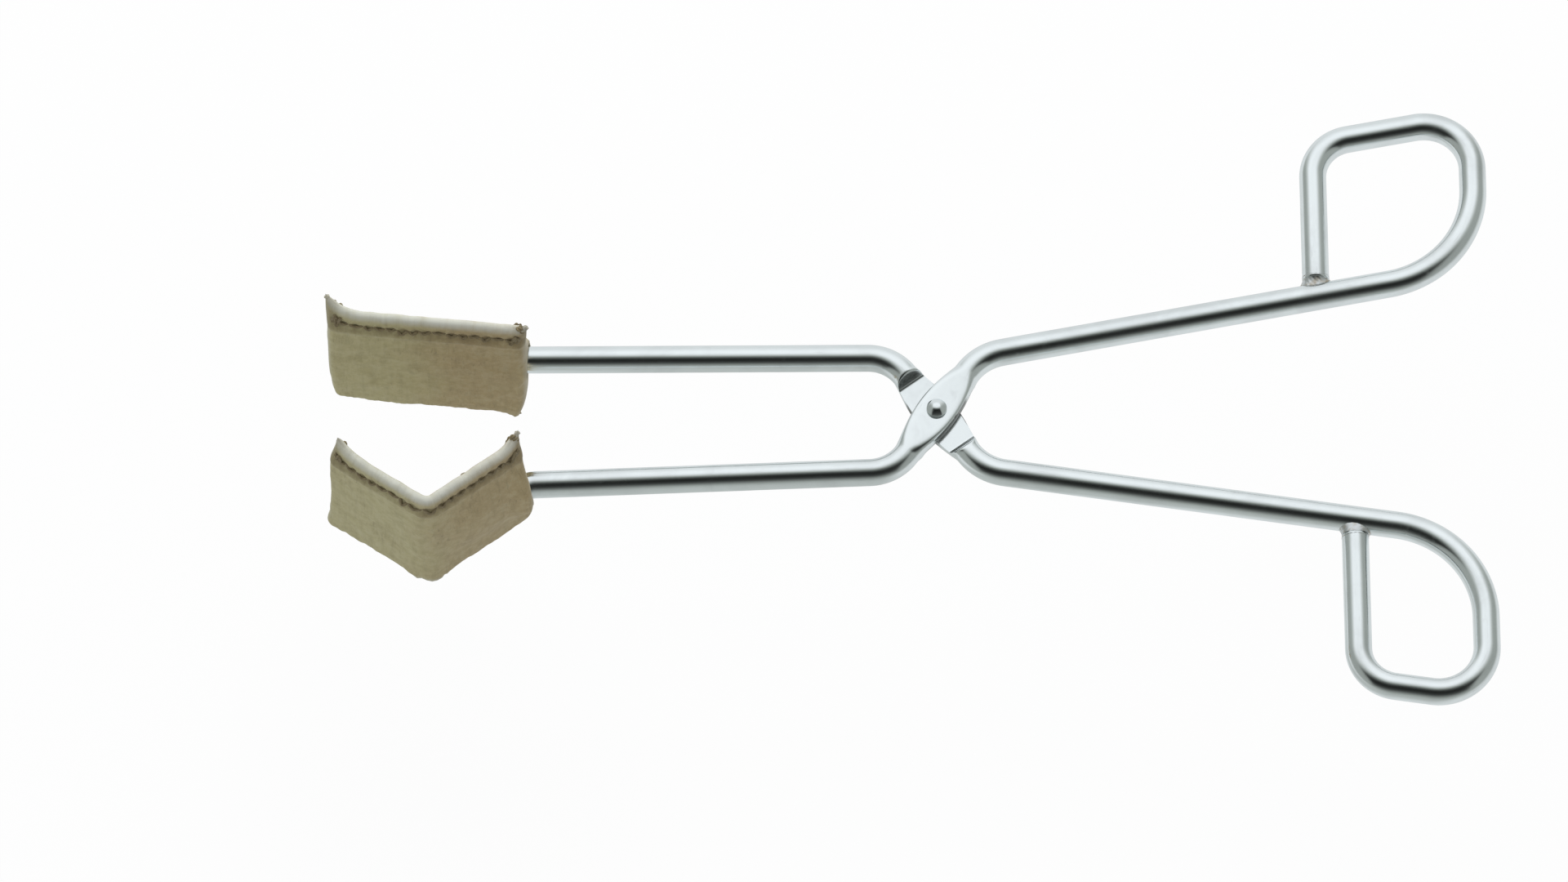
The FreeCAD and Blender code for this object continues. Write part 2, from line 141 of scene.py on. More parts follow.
class TongsJaws(bpy.types.PropertyGroup):
    """Sizes of the two jaws and their cloth sleeves."""

    plate_set: length("Plate set", "From the rod's middle to the plate's middle", 0.003)
    plate_thickness: length("Plate thickness", "Thickness of the steel inside", 0.0015)
    v_leg_angle: angle("V leg angle", "Slope of the V jaw's legs", 34.5)
    v_corner_radius: length("V corner radius", "Rounding of the V's corner", 0.0035)
    v_leg_length: length("V leg length", "Length of a leg of the sleeve", 0.0295)
    v_near_end: length("V near end", "Sleeve's near end past the front rod's last bend", 0.00041)
    v_rod_bend_radius: length("V rod bend radius", "Last bend of the front rod", 0.005)
    flat_bend_x: length("Flat bend place", "Where the rear rod bends last", 0.0265)
    flat_lean: angle("Flat jaw lean", "Slope of the flat jaw", 7.0)
    flat_rod_bend_radius: length("Flat rod bend radius", "Last bend of the rear rod", 0.030)
    flat_near: length("Flat near end", "Sleeve's near end past the bend", 0.0003)
    flat_length: length("Flat length", "Length of the flat sleeve", 0.0518)
    cloth: length("Cloth", "Thickness of the cloth", 0.0011)
    half_thickness: length("Half thickness", "Half of the sleeve over the plate", 0.0025)
    lip_half: length("Lip half thickness", "Half of the sewn top edge", 0.0016)
    seam_half: length("Seam half thickness", "Half of the sleeve where it is sewn", 0.00138)
    top: length("Top", "Top edge above the rods' middle plane", 0.0224)
    bottom: length("Bottom", "Bottom fold below the rods' middle plane", 0.0230)
    seam_drop: length("Seam drop", "Sewing below the top edge", 0.0036)
    hem: length("Hem", "Step where the cloth's folded hem ends", 0.00032)
    hem_drop: length("Hem drop", "From the sewing down to the hem's edge", 0.0026)
    sag: length("Sag", "How much the cloth's faces swell and sink", 0.00035)


class TongsThread(bpy.types.PropertyGroup):
    """Sizes of the sewing thread."""

    diameter: length("Thread diameter", "Diameter of the twisted thread", 0.0008)
    pitch: length("Stitch pitch", "Distance between stitches", 0.0031)
    unevenness: share("Unevenness", "How much the stitches vary", 0.32)
    twist: length("Twist", "Length of one turn of the thread's strands", 0.0016)


class TongsFinish(bpy.types.PropertyGroup):
    """Colours and finish of the materials."""

    steel: tint("Steel", "Polished steel", (0.87, 0.91, 0.92))
    steel_worn: tint("Worn steel", "Steel where it is handled", (0.70, 0.72, 0.73))
    # Painted shade: a dark colour for the lap's gap and the shoulders' feet, where shade falls.
    grime: tint("Grime", "Dirt in the corners of the lap", (0.085, 0.080, 0.064))
    heat: tint("Heat tint", "Straw colour beside the welds", (0.56, 0.47, 0.36))
    steel_roughness: share("Steel roughness", "Roughness of the polished rod", 0.12)
    plate: tint("Plate", "Mill steel of the jaw plates", (0.55, 0.55, 0.54))
    # The tan is browner than the olive and also darker, partly as painted shade towards the rods.
    olive: tint("Olive cloth", "Greener tone of the cloth", (0.452, 0.415, 0.226))
    tan: tint("Tan cloth", "Browner tone of the cloth", (0.425, 0.335, 0.182))
    # Pale wear on the sleeves' edges, and on the top edges a painted highlight as well.
    dusty: tint("Worn cloth", "Paler tone along the edges", (0.66, 0.67, 0.60))
    shadow: tint("Cloth hollows", "Darker yarns and pits of the cloth", (0.20, 0.165, 0.085))
    fluff: tint("Cloth fluff", "Lighter fibres of the cloth", (0.55, 0.52, 0.35))
    scorched: tint("Scorched cloth", "Dark stains beside the sewing", (0.185, 0.145, 0.080))
    weave: length("Weave", "Pitch of the cloth's yarns", 0.00052)
    thread: tint("Thread", "Brown sewing thread", (0.165, 0.130, 0.068))
    thread_light: tint("Light thread", "Paler strands of the thread", (0.290, 0.235, 0.130))


class TongsStage(bpy.types.PropertyGroup):
    """Floor, light and camera."""

    floor_drop: length("Floor drop", "Floor below the rods' middle plane", 0.075)
    floor_tint: tint("Floor", "Pale floor", (0.90, 0.91, 0.91))
    ambient: share("Ambient", "Even light from all round", 0.485, 5.0)
    key_power: watts("Key power", "Lamp above the flat jaw", 15.0)
    side_power: watts("Side power", "Lamp at the left", 1.6)
    distance: length("Camera distance", "From the tongs' middle to the camera", 8.0, 0.1, 20.0)
    tilt: angle("Camera tilt", "Camera's lean from the rivet's axis", 25.0)
    turn: angle("Camera turn", "Camera's turn towards the handles", 0.0)
    roll: angle("Camera roll", "Roll that lifts the handles", 1.2)
    lens: FloatProperty(name="Lens", description="Focal length", default=711.0, min=1.0, unit="CAMERA")
    aim_x: length("Aim X", "Point at the picture's centre, along X", 0.0924)
    aim_y: length("Aim Y", "Point at the picture's centre, along Y", -0.0068, -1.0, 1.0)


def sizes(group):
    """The group's values as plain numbers: lengths in mm, angles in degrees, the rest as they are."""
    found = {}
    for prop in group.bl_rna.properties:
        if prop.identifier in ("rna_type", "name"):
            continue
        value = getattr(group, prop.identifier)
        unit = getattr(prop, "unit", "NONE")
        if unit == "LENGTH":
            value = value * 1000.0
        if unit == "ROTATION":
            value = math.degrees(value)
        found[prop.identifier] = value
    return SimpleNamespace(**found)


def heading(degrees):
    """Unit vector in plan at an angle from +X."""
    turned = math.radians(degrees)
    return np.array([math.cos(turned), math.sin(turned)])


def meet(p, d, q, e):
    """Point where the line through p along d meets the line through q along e."""
    cross = d[0] * e[1] - d[1] * e[0]
    step = ((q[0] - p[0]) * e[1] - (q[1] - p[1]) * e[0]) / cross
    return p + d * step


def smooth(x, low, high):
    """3t^2 - 2t^3 of t = (x - low) / (high - low), held between 0 and 1."""
    t = np.clip((x - low) / (high - low), 0.0, 1.0)
    return t * t * (3.0 - 2.0 * t)


def soft_max(a, b, k):
    """Half of a + b + sqrt((a - b)^2 + k^2): the larger of two, with an edge of radius about k."""
    return 0.5 * (a + b + np.sqrt((a - b) ** 2 + k * k))


def rounded(distance, width, power):
    """(1 - (1 - d / w)^p)^(1 / p): from 0 at an edge to 1 at the width, like a quarter of an oval."""
    t = np.clip(distance / width, 0.0, 1.0)
    return (1.0 - (1.0 - t) ** power) ** (1.0 / power)


def circle(count):
    """Angles of count even steps round a circle, from 0."""
    return np.arange(count) * 2.0 * math.pi / count


def sums(values):
    """Running sums of the values, from 0."""
    return np.concatenate([[0.0], np.cumsum(values)])


def bell(x, width):
    """exp(-(x / width)^2): 1 at 0, falling to nearly nothing at twice the width."""
    return np.exp(-((x / width) ** 2))


def ripple(u, v, reach, seed, waves=9):
    """Sum of sine waves of seeded directions and phases, with wavelengths about reach, from -1 to 1."""
    rng = np.random.default_rng(seed)
    turn = rng.uniform(0.0, 2.0 * math.pi, waves)
    rate = 2.0 * math.pi / (reach * rng.uniform(0.6, 1.8, waves))
    phase = rng.uniform(0.0, 2.0 * math.pi, waves)
    total = np.zeros(np.broadcast(u, v).shape)
    for t, r, p in zip(turn, rate, phase):
        total = total + np.sin(r * (u * math.cos(t) + v * math.sin(t)) + p)
    return total / (0.6 * waves)


class Route:
    """A plan line of straight runs with a tangent arc of a given radius at each inner corner.

    An arc of radius r starts r * tan(turn / 2) before its corner. On an arc of curvature k the point
    at distance x is start + d * sin(kx) / k + n * (1 - cos(kx)) / k, with n to the left of d.
    """

    def __init__(self, points, radii):
        origins, dirs, bends, runs = [], [], [], []
        start = np.asarray(points[0], dtype=float)
        for before, corner, after, r in zip(points, points[1:], points[2:], radii):
            d_in = (corner - before) / np.linalg.norm(corner - before)
            d_out = (after - corner) / np.linalg.norm(after - corner)
            turn = math.atan2(d_in[0] * d_out[1] - d_in[1] * d_out[0], float(d_in @ d_out))
            back = r * math.tan(abs(turn) / 2.0)
            first = corner - d_in * back
            origins += [start, first]
            dirs += [d_in, d_in]
            bends += [0.0, math.copysign(1.0 / r, turn)]
            runs += [float(np.linalg.norm(first - start)), r * abs(turn)]
            start = corner + d_out * back
        last = np.asarray(points[-1], dtype=float)
        origins.append(start)
        dirs.append((last - start) / np.linalg.norm(last - start))
        bends.append(0.0)
        runs.append(float(np.linalg.norm(last - start)))
        self.origins = np.array(origins)
        self.dirs = np.array(dirs)
        self.bends = np.array(bends)
        self.starts = sums(runs)[:-1]
        self.length = float(sum(runs))

    def at(self, s):
        """Points and left normals at distances s, and past the ends along the last runs."""
        s = np.asarray(s, dtype=float)
        i = np.clip(np.searchsorted(self.starts, s, side="right") - 1, 0, len(self.starts) - 1)
        x = s - self.starts[i]
        k = self.bends[i]
        safe = np.where(k == 0.0, 1.0, k)
        ahead = np.where(k == 0.0, x, np.sin(k * x) / safe)[..., None]
        aside = np.where(k == 0.0, 0.0, (1.0 - np.cos(k * x)) / safe)[..., None]
        d = self.dirs[i]
        n = np.stack([-d[..., 1], d[..., 0]], axis=-1)
        c = np.cos(k * x)[..., None]
        t = np.sin(k * x)[..., None]
        return self.origins[i] + d * ahead + n * aside, n * c - d * t

    def nearest(self, point):
        """Distance along the route of the place nearest to a point."""
        s = np.linspace(0.0, self.length, 20001)
        places, _ = self.at(s)
        return float(s[np.argmin(np.sum((places - np.asarray(point)) ** 2, axis=1))])


def stations(total, coarse, fine, spots):
    """Distances from 0 to total whose spacing is fine within the spots and coarse elsewhere.

    The count grows with 1 / coarse + (1 / fine - 1 / coarse) * exp(-((s - spot) / width)^4).
    """
    s = np.linspace(0.0, total, 8001)
    least, more = 1.0 / coarse, 1.0 / fine - 1.0 / coarse
    rate = np.full_like(s, least)
    for spot, width in spots:
        rate = np.maximum(rate, least + more * np.exp(-(((s - spot) / width) ** 4)))
    count = sums((rate[1:] + rate[:-1]) / 2.0) * (s[1] - s[0])
    return np.interp(np.linspace(0.0, count[-1], int(count[-1]) + 2), count, s)


def space(plan, side, height):
    """Points in space: plan place plus its normal times side, at a height."""
    place, normal = plan
    flat = place + normal * side[..., None]
    return np.concatenate([flat, np.broadcast_to(height[..., None], flat.shape[:-1] + (1,))], axis=-1)


def placed(points, rear, turned_over=False):
    """Points moved from an arm's pivot frame to the tongs' frame, in metres.

    The rear arm is the front one turned over, y to -y and z to -z; its jaw keeps its z.
    """
    moved = np.array(points, dtype=float)
    if rear:
        moved[..., 1] = -moved[..., 1]
    if turned_over:
        moved[..., 2] = -moved[..., 2]
    return moved / 1000.0 + np.array([pivot_m[0], pivot_m[1], pivot_m[2]])


def ring_faces(rows, cols, close_rows=False):
    """Quads between successive closed rings of cols points, rows in all."""
    r = np.arange(rows if close_rows else rows - 1)[:, None]
    c = np.arange(cols)[None, :]
    nxt = (r + 1) % rows
    wrap = (c + 1) % cols
    quads = np.stack([r * cols + c, r * cols + wrap, nxt * cols + wrap, nxt * cols + c], axis=-1)
    return quads.reshape(-1, 4)


def skin(rings, capped=True, close_rows=False):
    """Vertices, quads and triangles of rings of points, with a fan to a middle point at each end."""
    rows, cols = rings.shape[:2]
    verts = rings.reshape(-1, 3)
    quads = ring_faces(rows, cols, close_rows)
    if not capped:
        return verts, quads, np.zeros((0, 3), dtype=int)
    middles = np.stack([rings[0].mean(axis=0), rings[-1].mean(axis=0)])
    c = np.arange(cols)
    wrap = (c + 1) % cols
    last = (rows - 1) * cols
    first_fan = np.stack([wrap, c, np.full(cols, len(verts))], axis=-1)
    last_fan = np.stack([last + c, last + wrap, np.full(cols, len(verts) + 1)], axis=-1)
    return np.concatenate([verts, middles]), quads, np.concatenate([first_fan, last_fan])


def swept(points, radius, around, closed=False, reference=(0.0, 0.0, 1.0)):
    """Rings of a tube along points: place + radius * (cos a * n + sin a * b), n square to the line."""
    if closed:
        ahead = np.roll(points, -1, axis=0) - np.roll(points, 1, axis=0)
    else:
        ahead = np.gradient(points, axis=0)
    ahead = ahead / np.linalg.norm(ahead, axis=1, keepdims=True)
    guide = np.broadcast_to(np.asarray(reference, dtype=float), points.shape)
    n = guide - ahead * np.sum(guide * ahead, axis=1, keepdims=True)
    n = n / np.linalg.norm(n, axis=1, keepdims=True)
    b = np.cross(ahead, n)
    a = circle(around)
    spokes = np.cos(a)[None, :, None] * n[:, None, :] + np.sin(a)[None, :, None] * b[:, None, :]
    return points[:, None, :] + spokes * radius[..., None]


def joined(parts):
    """Several sets of vertices, quads and triangles as one."""
    verts, quads, tris, base = [], [], [], 0
    for v, q, t in parts:
        verts.append(v)
        quads.append(np.asarray(q).reshape(-1, 4) + base)
        tris.append(np.asarray(t).reshape(-1, 3) + base)
        base += len(v)
    return np.concatenate(verts), np.concatenate(quads), np.concatenate(tris)


def volume(verts, quads, tris):
    """Sum of a . (b x c) / 6 over the triangles: positive where the faces point outwards."""
    split = np.concatenate([quads[:, [0, 1, 2]], quads[:, [0, 2, 3]], tris])
    a, b, c = verts[split[:, 0]], verts[split[:, 1]], verts[split[:, 2]]
    return float(np.sum(a * np.cross(b, c)) / 6.0)


def put(name, data):
    """A new object of some data, linked to the scene."""
    obj = bpy.data.objects.new(name, data)
    bpy.context.scene.collection.objects.link(obj)
    return obj


def make_piece(name, shape, rear, node, maker, uv=None, masks=None):
    """Put a surface into a new coated object that rides on its arm's body and stands for a node."""
    verts, quads, tris = shape
    centre = verts.mean(axis=0)
    if volume(verts - centre, quads, tris) < 0.0:
        quads = quads[:, ::-1]
        tris = tris[:, ::-1]
    if not np.isfinite(verts).all():
        raise RuntimeError(name + " has a point that is not a number")
    mesh = bpy.data.meshes.new(name)
    corners = np.concatenate([quads.ravel(), tris.ravel()]).astype(np.int32)
    starts = np.concatenate([np.arange(len(quads)) * 4, len(quads) * 4 + np.arange(len(tris)) * 3])
    mesh.vertices.add(len(verts))
    mesh.vertices.foreach_set("co", verts.astype(np.float32).ravel())
    mesh.loops.add(len(corners))
    mesh.loops.foreach_set("vertex_index", corners)
    mesh.polygons.add(len(starts))
    mesh.polygons.foreach_set("loop_start", starts.astype(np.int32))
    mesh.update(calc_edges=True)
    if mesh.validate():
        raise RuntimeError(name + " has a face that Blender had to mend")
    mesh.polygons.foreach_set("use_smooth", np.ones(len(starts), dtype=bool))
    if uv is not None:
        layer = mesh.uv_layers.new(name="Surface")
        layer.data.foreach_set("uv", wrapped(uv, corners, starts).astype(np.float32).ravel())
    for key, values in (masks or {}).items():
        mesh.attributes.new(key, "FLOAT", "POINT").data.foreach_set("value", values.astype(np.float32))
    piece = put(name, mesh)
    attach(piece, "rear" if rear else "front")
    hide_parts(node)
    coat(piece, maker)
    return piece


def wrapped(uv, corners, starts):
    """Corner coordinates from the points' (along, around, girth), unrolled where a face wraps round."""
    found = uv[corners]
    face = np.repeat(np.arange(len(starts)), np.diff(np.append(starts, len(corners))))
    most = np.full(len(starts), -1e9)
    np.maximum.at(most, face, found[:, 1])
    behind = most[face] - found[:, 1] > found[:, 2] / 2.0
    return np.stack([found[:, 0], found[:, 1] + np.where(behind, found[:, 2], 0.0)], axis=-1)


class Sock:
    """A shader socket with arithmetic. Each expression adds its Math nodes to the same tree."""

    def __init__(self, board, socket):
        self.board = board
        self.socket = socket

    def _math(self, operation, *values):
        return self.board.add("ShaderNodeMath", {"operation": operation}, dict(enumerate(values)))

    def __add__(self, other):
        return self._math("ADD", self, other)

    __radd__ = __add__

    def __sub__(self, other):
        return self._math("SUBTRACT", self, other)

    def __mul__(self, other):
        return self._math("MULTIPLY", self, other)

    __rmul__ = __mul__

    def sine(self):
        """Sine of the value, in radians."""
        return self._math("SINE", self)

    def most(self, other):
        """The larger of two values."""
        return self._math("MAXIMUM", self, other)

    def other(self, output):
        """Another output of the same node."""
        return Sock(self.board, self.socket.node.outputs[output])

    def ease(self, low, high):
        """Smooth step from 0 at low to 1 at high."""
        limits = {"Value": self, "From Min": low, "From Max": high}
        return self.board.add("ShaderNodeMapRange", {"interpolation_type": "SMOOTHSTEP"}, limits)


class Board:
    """The node tree of a new material or world and the one way in which nodes are put on it."""

    def __init__(self, name, store=None):
        self.owner = (bpy.data.materials if store is None else store).new(name)
        self.owner.use_nodes = True
        self.tree = self.owner.node_tree
        self.tree.nodes.clear()

    def add(self, kind, settings=None, values=None, output=0):
        """New node of a type: its settings first, then its sockets' values or links."""
        node = self.tree.nodes.new(kind)
        for key, value in (settings or {}).items():
            if key == "stops":
                ramp = node.color_ramp
                while len(ramp.elements) < len(value):
                    ramp.elements.new(0.5)
                for stop, (place, colour) in zip(ramp.elements, value):
                    stop.position = place
                    stop.color = (*colour, 1.0)
            else:
                setattr(node, key, value)
        for key, value in (values or {}).items():
            if isinstance(value, Sock):
                self.tree.links.new(value.socket, node.inputs[key])
            elif isinstance(value, (tuple, list)) and len(value) == 3 and node.inputs[key].type == "RGBA":
                node.inputs[key].default_value = (*value, 1.0)
            else:
                node.inputs[key].default_value = value
        return Sock(self, node.outputs[output]) if len(node.outputs) else None

    def mix(self, factor, first, second, blend="MIX"):
        """Colour mix from first to second."""
        settings = {"data_type": "RGBA", "blend_type": blend}
        return self.add("ShaderNodeMix", settings, {0: factor, 6: first, 7: second}, 2)

    def noise(self, vector, scale, detail=3.0, roughness=0.5, distortion=0.0):
        """Fractal noise from 0 to 1."""
        values = {"Vector": vector, "Scale": scale, "Detail": detail}
        values.update({"Roughness": roughness, "Distortion": distortion})
        return self.add("ShaderNodeTexNoise", None, values)

    def place(self):
        """Object coordinates."""
        return self.add("ShaderNodeTexCoord", None, None, "Object")

    def surface(self):
        """The piece's own coordinates, in metres along and around it."""
        return self.add("ShaderNodeUVMap", {"uv_map": "Surface"})

    def direct(self):
        """1 for camera, glossy and transmission rays, 0 for others."""
        rays = self.add("ShaderNodeLightPath")
        return rays.most(rays.other("Is Glossy Ray")).most(rays.other("Is Transmission Ray"))

    def mask(self, name):
        """A number painted on the piece's points."""
        return self.add("ShaderNodeAttribute", {"attribute_name": name}, None, "Fac")

    def stretch(self, vector, factors):
        """Vector times a vector."""
        return self.add("ShaderNodeVectorMath", {"operation": "MULTIPLY"}, {0: vector, 1: factors})

    def bump(self, height, strength, distance, below=None):
        """Normal from a height."""
        values = {"Height": height, "Strength": strength, "Distance": distance}
        if below is not None:
            values["Normal"] = below
        return self.add("ShaderNodeBump", None, values)

    def finish(self, **values):
        """Principled surface with these sockets, named with _ for spaces."""
        sockets = {key.replace("_", " "): value for key, value in values.items()}
        surface = self.add("ShaderNodeBsdfPrincipled", None, sockets)
        self.add("ShaderNodeOutputMaterial", None, {"Surface": surface})
        return self.owner


def polished_steel(look):
    """Bright drawn bar: fine lines along the bar, faint smears and a straw tint beside the welds.

    Painted shade: a dark colour on the blades' walls in the lap's gap and at the shoulders.
    """
    b = Board("tongs_polished_steel")
    along = b.surface()
    place = b.place()
    lines = b.noise(b.stretch(along, (30.0, 4200.0, 1.0)), 1.0, 4.0, 0.65)
    scuffs = b.noise(b.stretch(along, (160.0, 1500.0, 1.0)), 1.0, 2.0, 0.6).ease(0.60, 0.74)
    smears = b.noise(place, 55.0, 4.0, 0.6, 0.6).ease(0.42, 0.72)
    marks = b.noise(place, 310.0, 2.0, 0.5).ease(0.66, 0.76)
    heat = b.mask("heat")
    worn = b.mix(smears * 0.45 + scuffs * 0.25, tuple(look.steel), tuple(look.steel_worn))
    # Painted shade: the mask from the arms darkens the colour in the lap's gap and at the shoulders, broken
    # up by marks and smears.
    painted_lap_shade = (b.mask("grime") * (0.8 + marks * 0.3 + smears * 0.25)).ease(0.05, 0.95)
    colour = b.mix(painted_lap_shade, b.mix(heat * 0.55, worn, tuple(look.heat)), tuple(look.grime))
    rough = look.steel_roughness + lines * 0.07 + smears * 0.06 + scuffs * 0.07 + marks * 0.06
    rough = rough + heat * 0.10 + painted_lap_shade * 0.25
    fine = b.bump(lines, 0.10, 0.00002)
    dents = b.bump(smears * 0.6 + marks * 0.4, 0.06, 0.00006, fine)
    return b.finish(Base_Color=colour, Metallic=1.0, Roughness=rough, Normal=dents)


def rivet_steel(look):
    """Hammered rivet: turning rings, small flats and darker specks."""
    b = Board("tongs_rivet_steel")
    place = b.place()
    flats = b.add("ShaderNodeTexVoronoi", {"feature": "SMOOTH_F1"}, {"Vector": place, "Scale": 900.0})
    specks = b.noise(place, 2200.0, 3.0, 0.6).ease(0.58, 0.72)
    colour = b.mix(specks * 0.5, tuple(look.steel), tuple(look.steel_worn))
    rough = 0.14 + specks * 0.12
    normal = b.bump(flats * 0.8 + specks * 0.2, 0.16, 0.00008)
    return b.finish(Base_Color=colour, Metallic=1.0, Roughness=rough, Normal=normal)


def weld_steel(look):
    """Plated weld bead: duller than the bar, with grains and brown heat stains."""
    b = Board("tongs_weld_steel")
    place = b.place()
    grain = b.noise(place, 1600.0, 5.0, 0.65)
    stain = b.noise(place, 420.0, 3.0, 0.6).ease(0.45, 0.70)
    colour = b.mix(stain * 0.8, tuple(look.steel_worn), tuple(look.heat))
    rough = 0.22 + grain * 0.16 + stain * 0.12
    return b.finish(Base_Color=colour, Metallic=1.0, Roughness=rough, Normal=b.bump(grain, 0.12, 0.00005))


def plate_steel(look):
    """Mill steel sheet: brushed along X with darker scale in blotches."""
    b = Board("tongs_plate_steel")
    place = b.place()
    brush = b.noise(b.stretch(place, (60.0, 60.0, 3000.0)), 1.0, 3.0, 0.6)
    scale = b.noise(place, 130.0, 4.0, 0.6).ease(0.48, 0.68)
    colour = b.mix(scale * 0.6 + brush * 0.2, tuple(look.plate), (0.30, 0.29, 0.28))
    rough = 0.30 + brush * 0.14 + scale * 0.14
    return b.finish(Base_Color=colour, Metallic=1.0, Roughness=rough, Normal=b.bump(brush, 0.25, 0.00005))


def woven_cloth(look):
    """Plain-woven glass cloth gone khaki in use.

    The weave's height is the product of a sine along and a sine around. The tone runs from olive at
    the tip to a darker tan at the rod with clouds over it; the darker tan is partly painted shade.
    Edges are paler from wear, the top edge also with a painted highlight, and the sewing has dark
    stains.
    """
    b = Board("tongs_woven_cloth")
    around = b.surface()
    place = b.place()
    yarn = b.add("ShaderNodeSeparateXYZ", None, {0: around})
    yarn_b = yarn.other(1)
    wobble = b.noise(place, 700.0, 2.0, 0.5)
    rate = 2.0 * math.pi / look.weave
    weave = (yarn * rate + wobble * 1.6).sine() * (yarn_b * rate + wobble * 1.6).sine()
    spot = b.add("ShaderNodeSeparateXYZ", None, {0: place})
    clouds = b.noise(place, 62.0, 4.0, 0.6, 0.4)
    mottle = b.noise(place, 420.0, 3.0, 0.65)
    grit = b.noise(place, 2600.0, 2.0, 0.6)
    streaks = b.noise(b.stretch(around, (620.0, 75.0, 1.0)), 1.0, 4.0, 0.65)
    lean = {"Vector": around, "Rotation": (0.0, 0.0, 0.35), "Scale": (1700.0, 300.0, 1.0)}
    slanted = b.add("ShaderNodeMapping", None, lean)
    dashes = b.noise(slanted, 1.0, 2.0, 0.5).ease(0.58, 0.68) * clouds.ease(0.42, 0.60)
    # Partly painted shade: towards the rod the tone turns to the tan, which is browner and also darker.
    along = spot.ease(-0.016, 0.018)
    tone = b.mix((along * 0.85 + clouds * 0.8 - 0.34).ease(0.0, 1.0), tuple(look.olive), tuple(look.tan))
    dark = streaks.ease(0.46, 0.66) * 0.16 + mottle.ease(0.47, 0.64) * 0.15 + dashes * 0.30
    shaded = b.mix(dark, tone, tuple(look.shadow))
    lit = b.mix(grit.ease(0.48, 0.70) * 0.16 + mottle.ease(0.52, 0.36) * 0.18, shaded, tuple(look.fluff))
    # The pale edges are wear, and along the top edge also a painted highlight.
    edge = b.mask("edge")
    worn = edge * (0.30 + clouds * 0.7 + mottle * 0.6 - streaks.ease(0.44, 0.62) * 0.12)
    pale = b.mix(worn.ease(0.02, 1.05) * 0.92, lit, tuple(look.dusty))
    stain = (b.mask("seam") * (mottle * 0.9 + clouds * 0.9)).ease(0.20, 0.90)
    colour = b.mix(stain * 0.50, pale, tuple(look.scorched))
    fuzz = b.bump(grit * 0.6 + mottle * 0.8, 0.25, 0.00020)
    woven = b.bump(weave * 0.5 + 0.5, 0.16, 0.00010, fuzz)
    puffs = b.bump(clouds, 0.30, 0.0012, woven)
    rough = 0.86 + grit * 0.12
    return b.finish(
        Base_Color=colour, Roughness=rough, Normal=puffs, Sheen_Weight=0.10, Sheen_Roughness=0.55, IOR=1.35
    )


def brown_thread(look):
    """Twisted brown thread: slanting strands with paler fibres, and painted shade in the grooves between
    them.
    """
    b = Board("tongs_brown_thread")
    line = b.surface()
    parts = b.add("ShaderNodeSeparateXYZ", None, {0: line})
    girth = parts.other(1)
    place = b.place()
    fibres = b.noise(place, 3200.0, 3.0, 0.7)
    strand = (parts * 3900.0 + girth * 4700.0).sine() * 0.5 + 0.5
    # Painted shade: the strand wave darkens the colour where its bump makes the grooves.
    colour = b.mix(strand * 0.35 + fibres * 0.45, tuple(look.thread), tuple(look.thread_light))
    normal = b.bump(strand * 0.6 + fibres * 0.5, 0.5, 0.00012)
    return b.finish(Base_Color=colour, Roughness=0.80 + fibres * 0.15, Normal=normal, Sheen_Weight=0.10)


def coat(piece, maker):
    """Give a piece the one material of a maker, which is made once and kept under the maker's name."""
    material = bpy.data.materials.get("tongs_" + maker.__name__)
    if material is None:
        material = maker(bpy.context.scene.tongs_finish)
    piece.data.materials.clear()
    piece.data.materials.append(material)


def rod_corners(rods, jaws):
    """Places of the two rods' last bends and of the V's corner, in each arm's own pivot frame."""
    start = heading(rods.lap_angle) * -rods.lap_reach
    way = heading(180.0 + rods.jaw_arm_spread)
    up = np.array([0.0, 1.0])
    offset = heading(jaws.v_leg_angle) * (jaws.v_leg_length + jaws.v_near_end)
    offset = offset - heading(jaws.v_leg_angle + 90.0) * jaws.plate_set
    v_rod = meet(start, way, np.array([offset[0] - rods.pivot_distance, 0.0]), up)
    flat_rod = meet(start, way, np.array([jaws.flat_bend_x - rods.pivot_distance, 0.0]), up)
    return v_rod, flat_rod, v_rod - offset


def arm_route(rods, corner, tail_angle, bend_r, ring_width, ring_height):
    """Middle line of an arm from its flattened tail, over the lap, round the ring to its weld."""
    lap = heading(rods.lap_angle) * rods.lap_reach
    way = heading(rods.handle_spread)
    up = np.array([0.0, 1.0])
    shoulder = meet(lap, way, np.array([rods.ring_end, 0.0]), up)
    outer = shoulder + up * ring_height
    side = np.array([rods.ring_end - ring_width, 0.0])
    far = meet(outer, way, side, up)
    r = rods.rod_diameter / 2.0
    spread = math.radians(rods.handle_spread)
    foot = meet(lap, way, side, up) + up * (r / math.cos(spread) + r * math.tan(spread) + rods.weld_gap)
    tail = corner + heading(180.0 + tail_angle) * rods.tail_length
    radii = [bend_r, rods.jaw_bend_radius, rods.handle_bend_radius]
    radii += [rods.ring_shoulder_radius, rods.ring_outer_radius, rods.ring_inner_radius]
    return Route([tail, corner, -lap, lap, shoulder, outer, far, foot], radii)


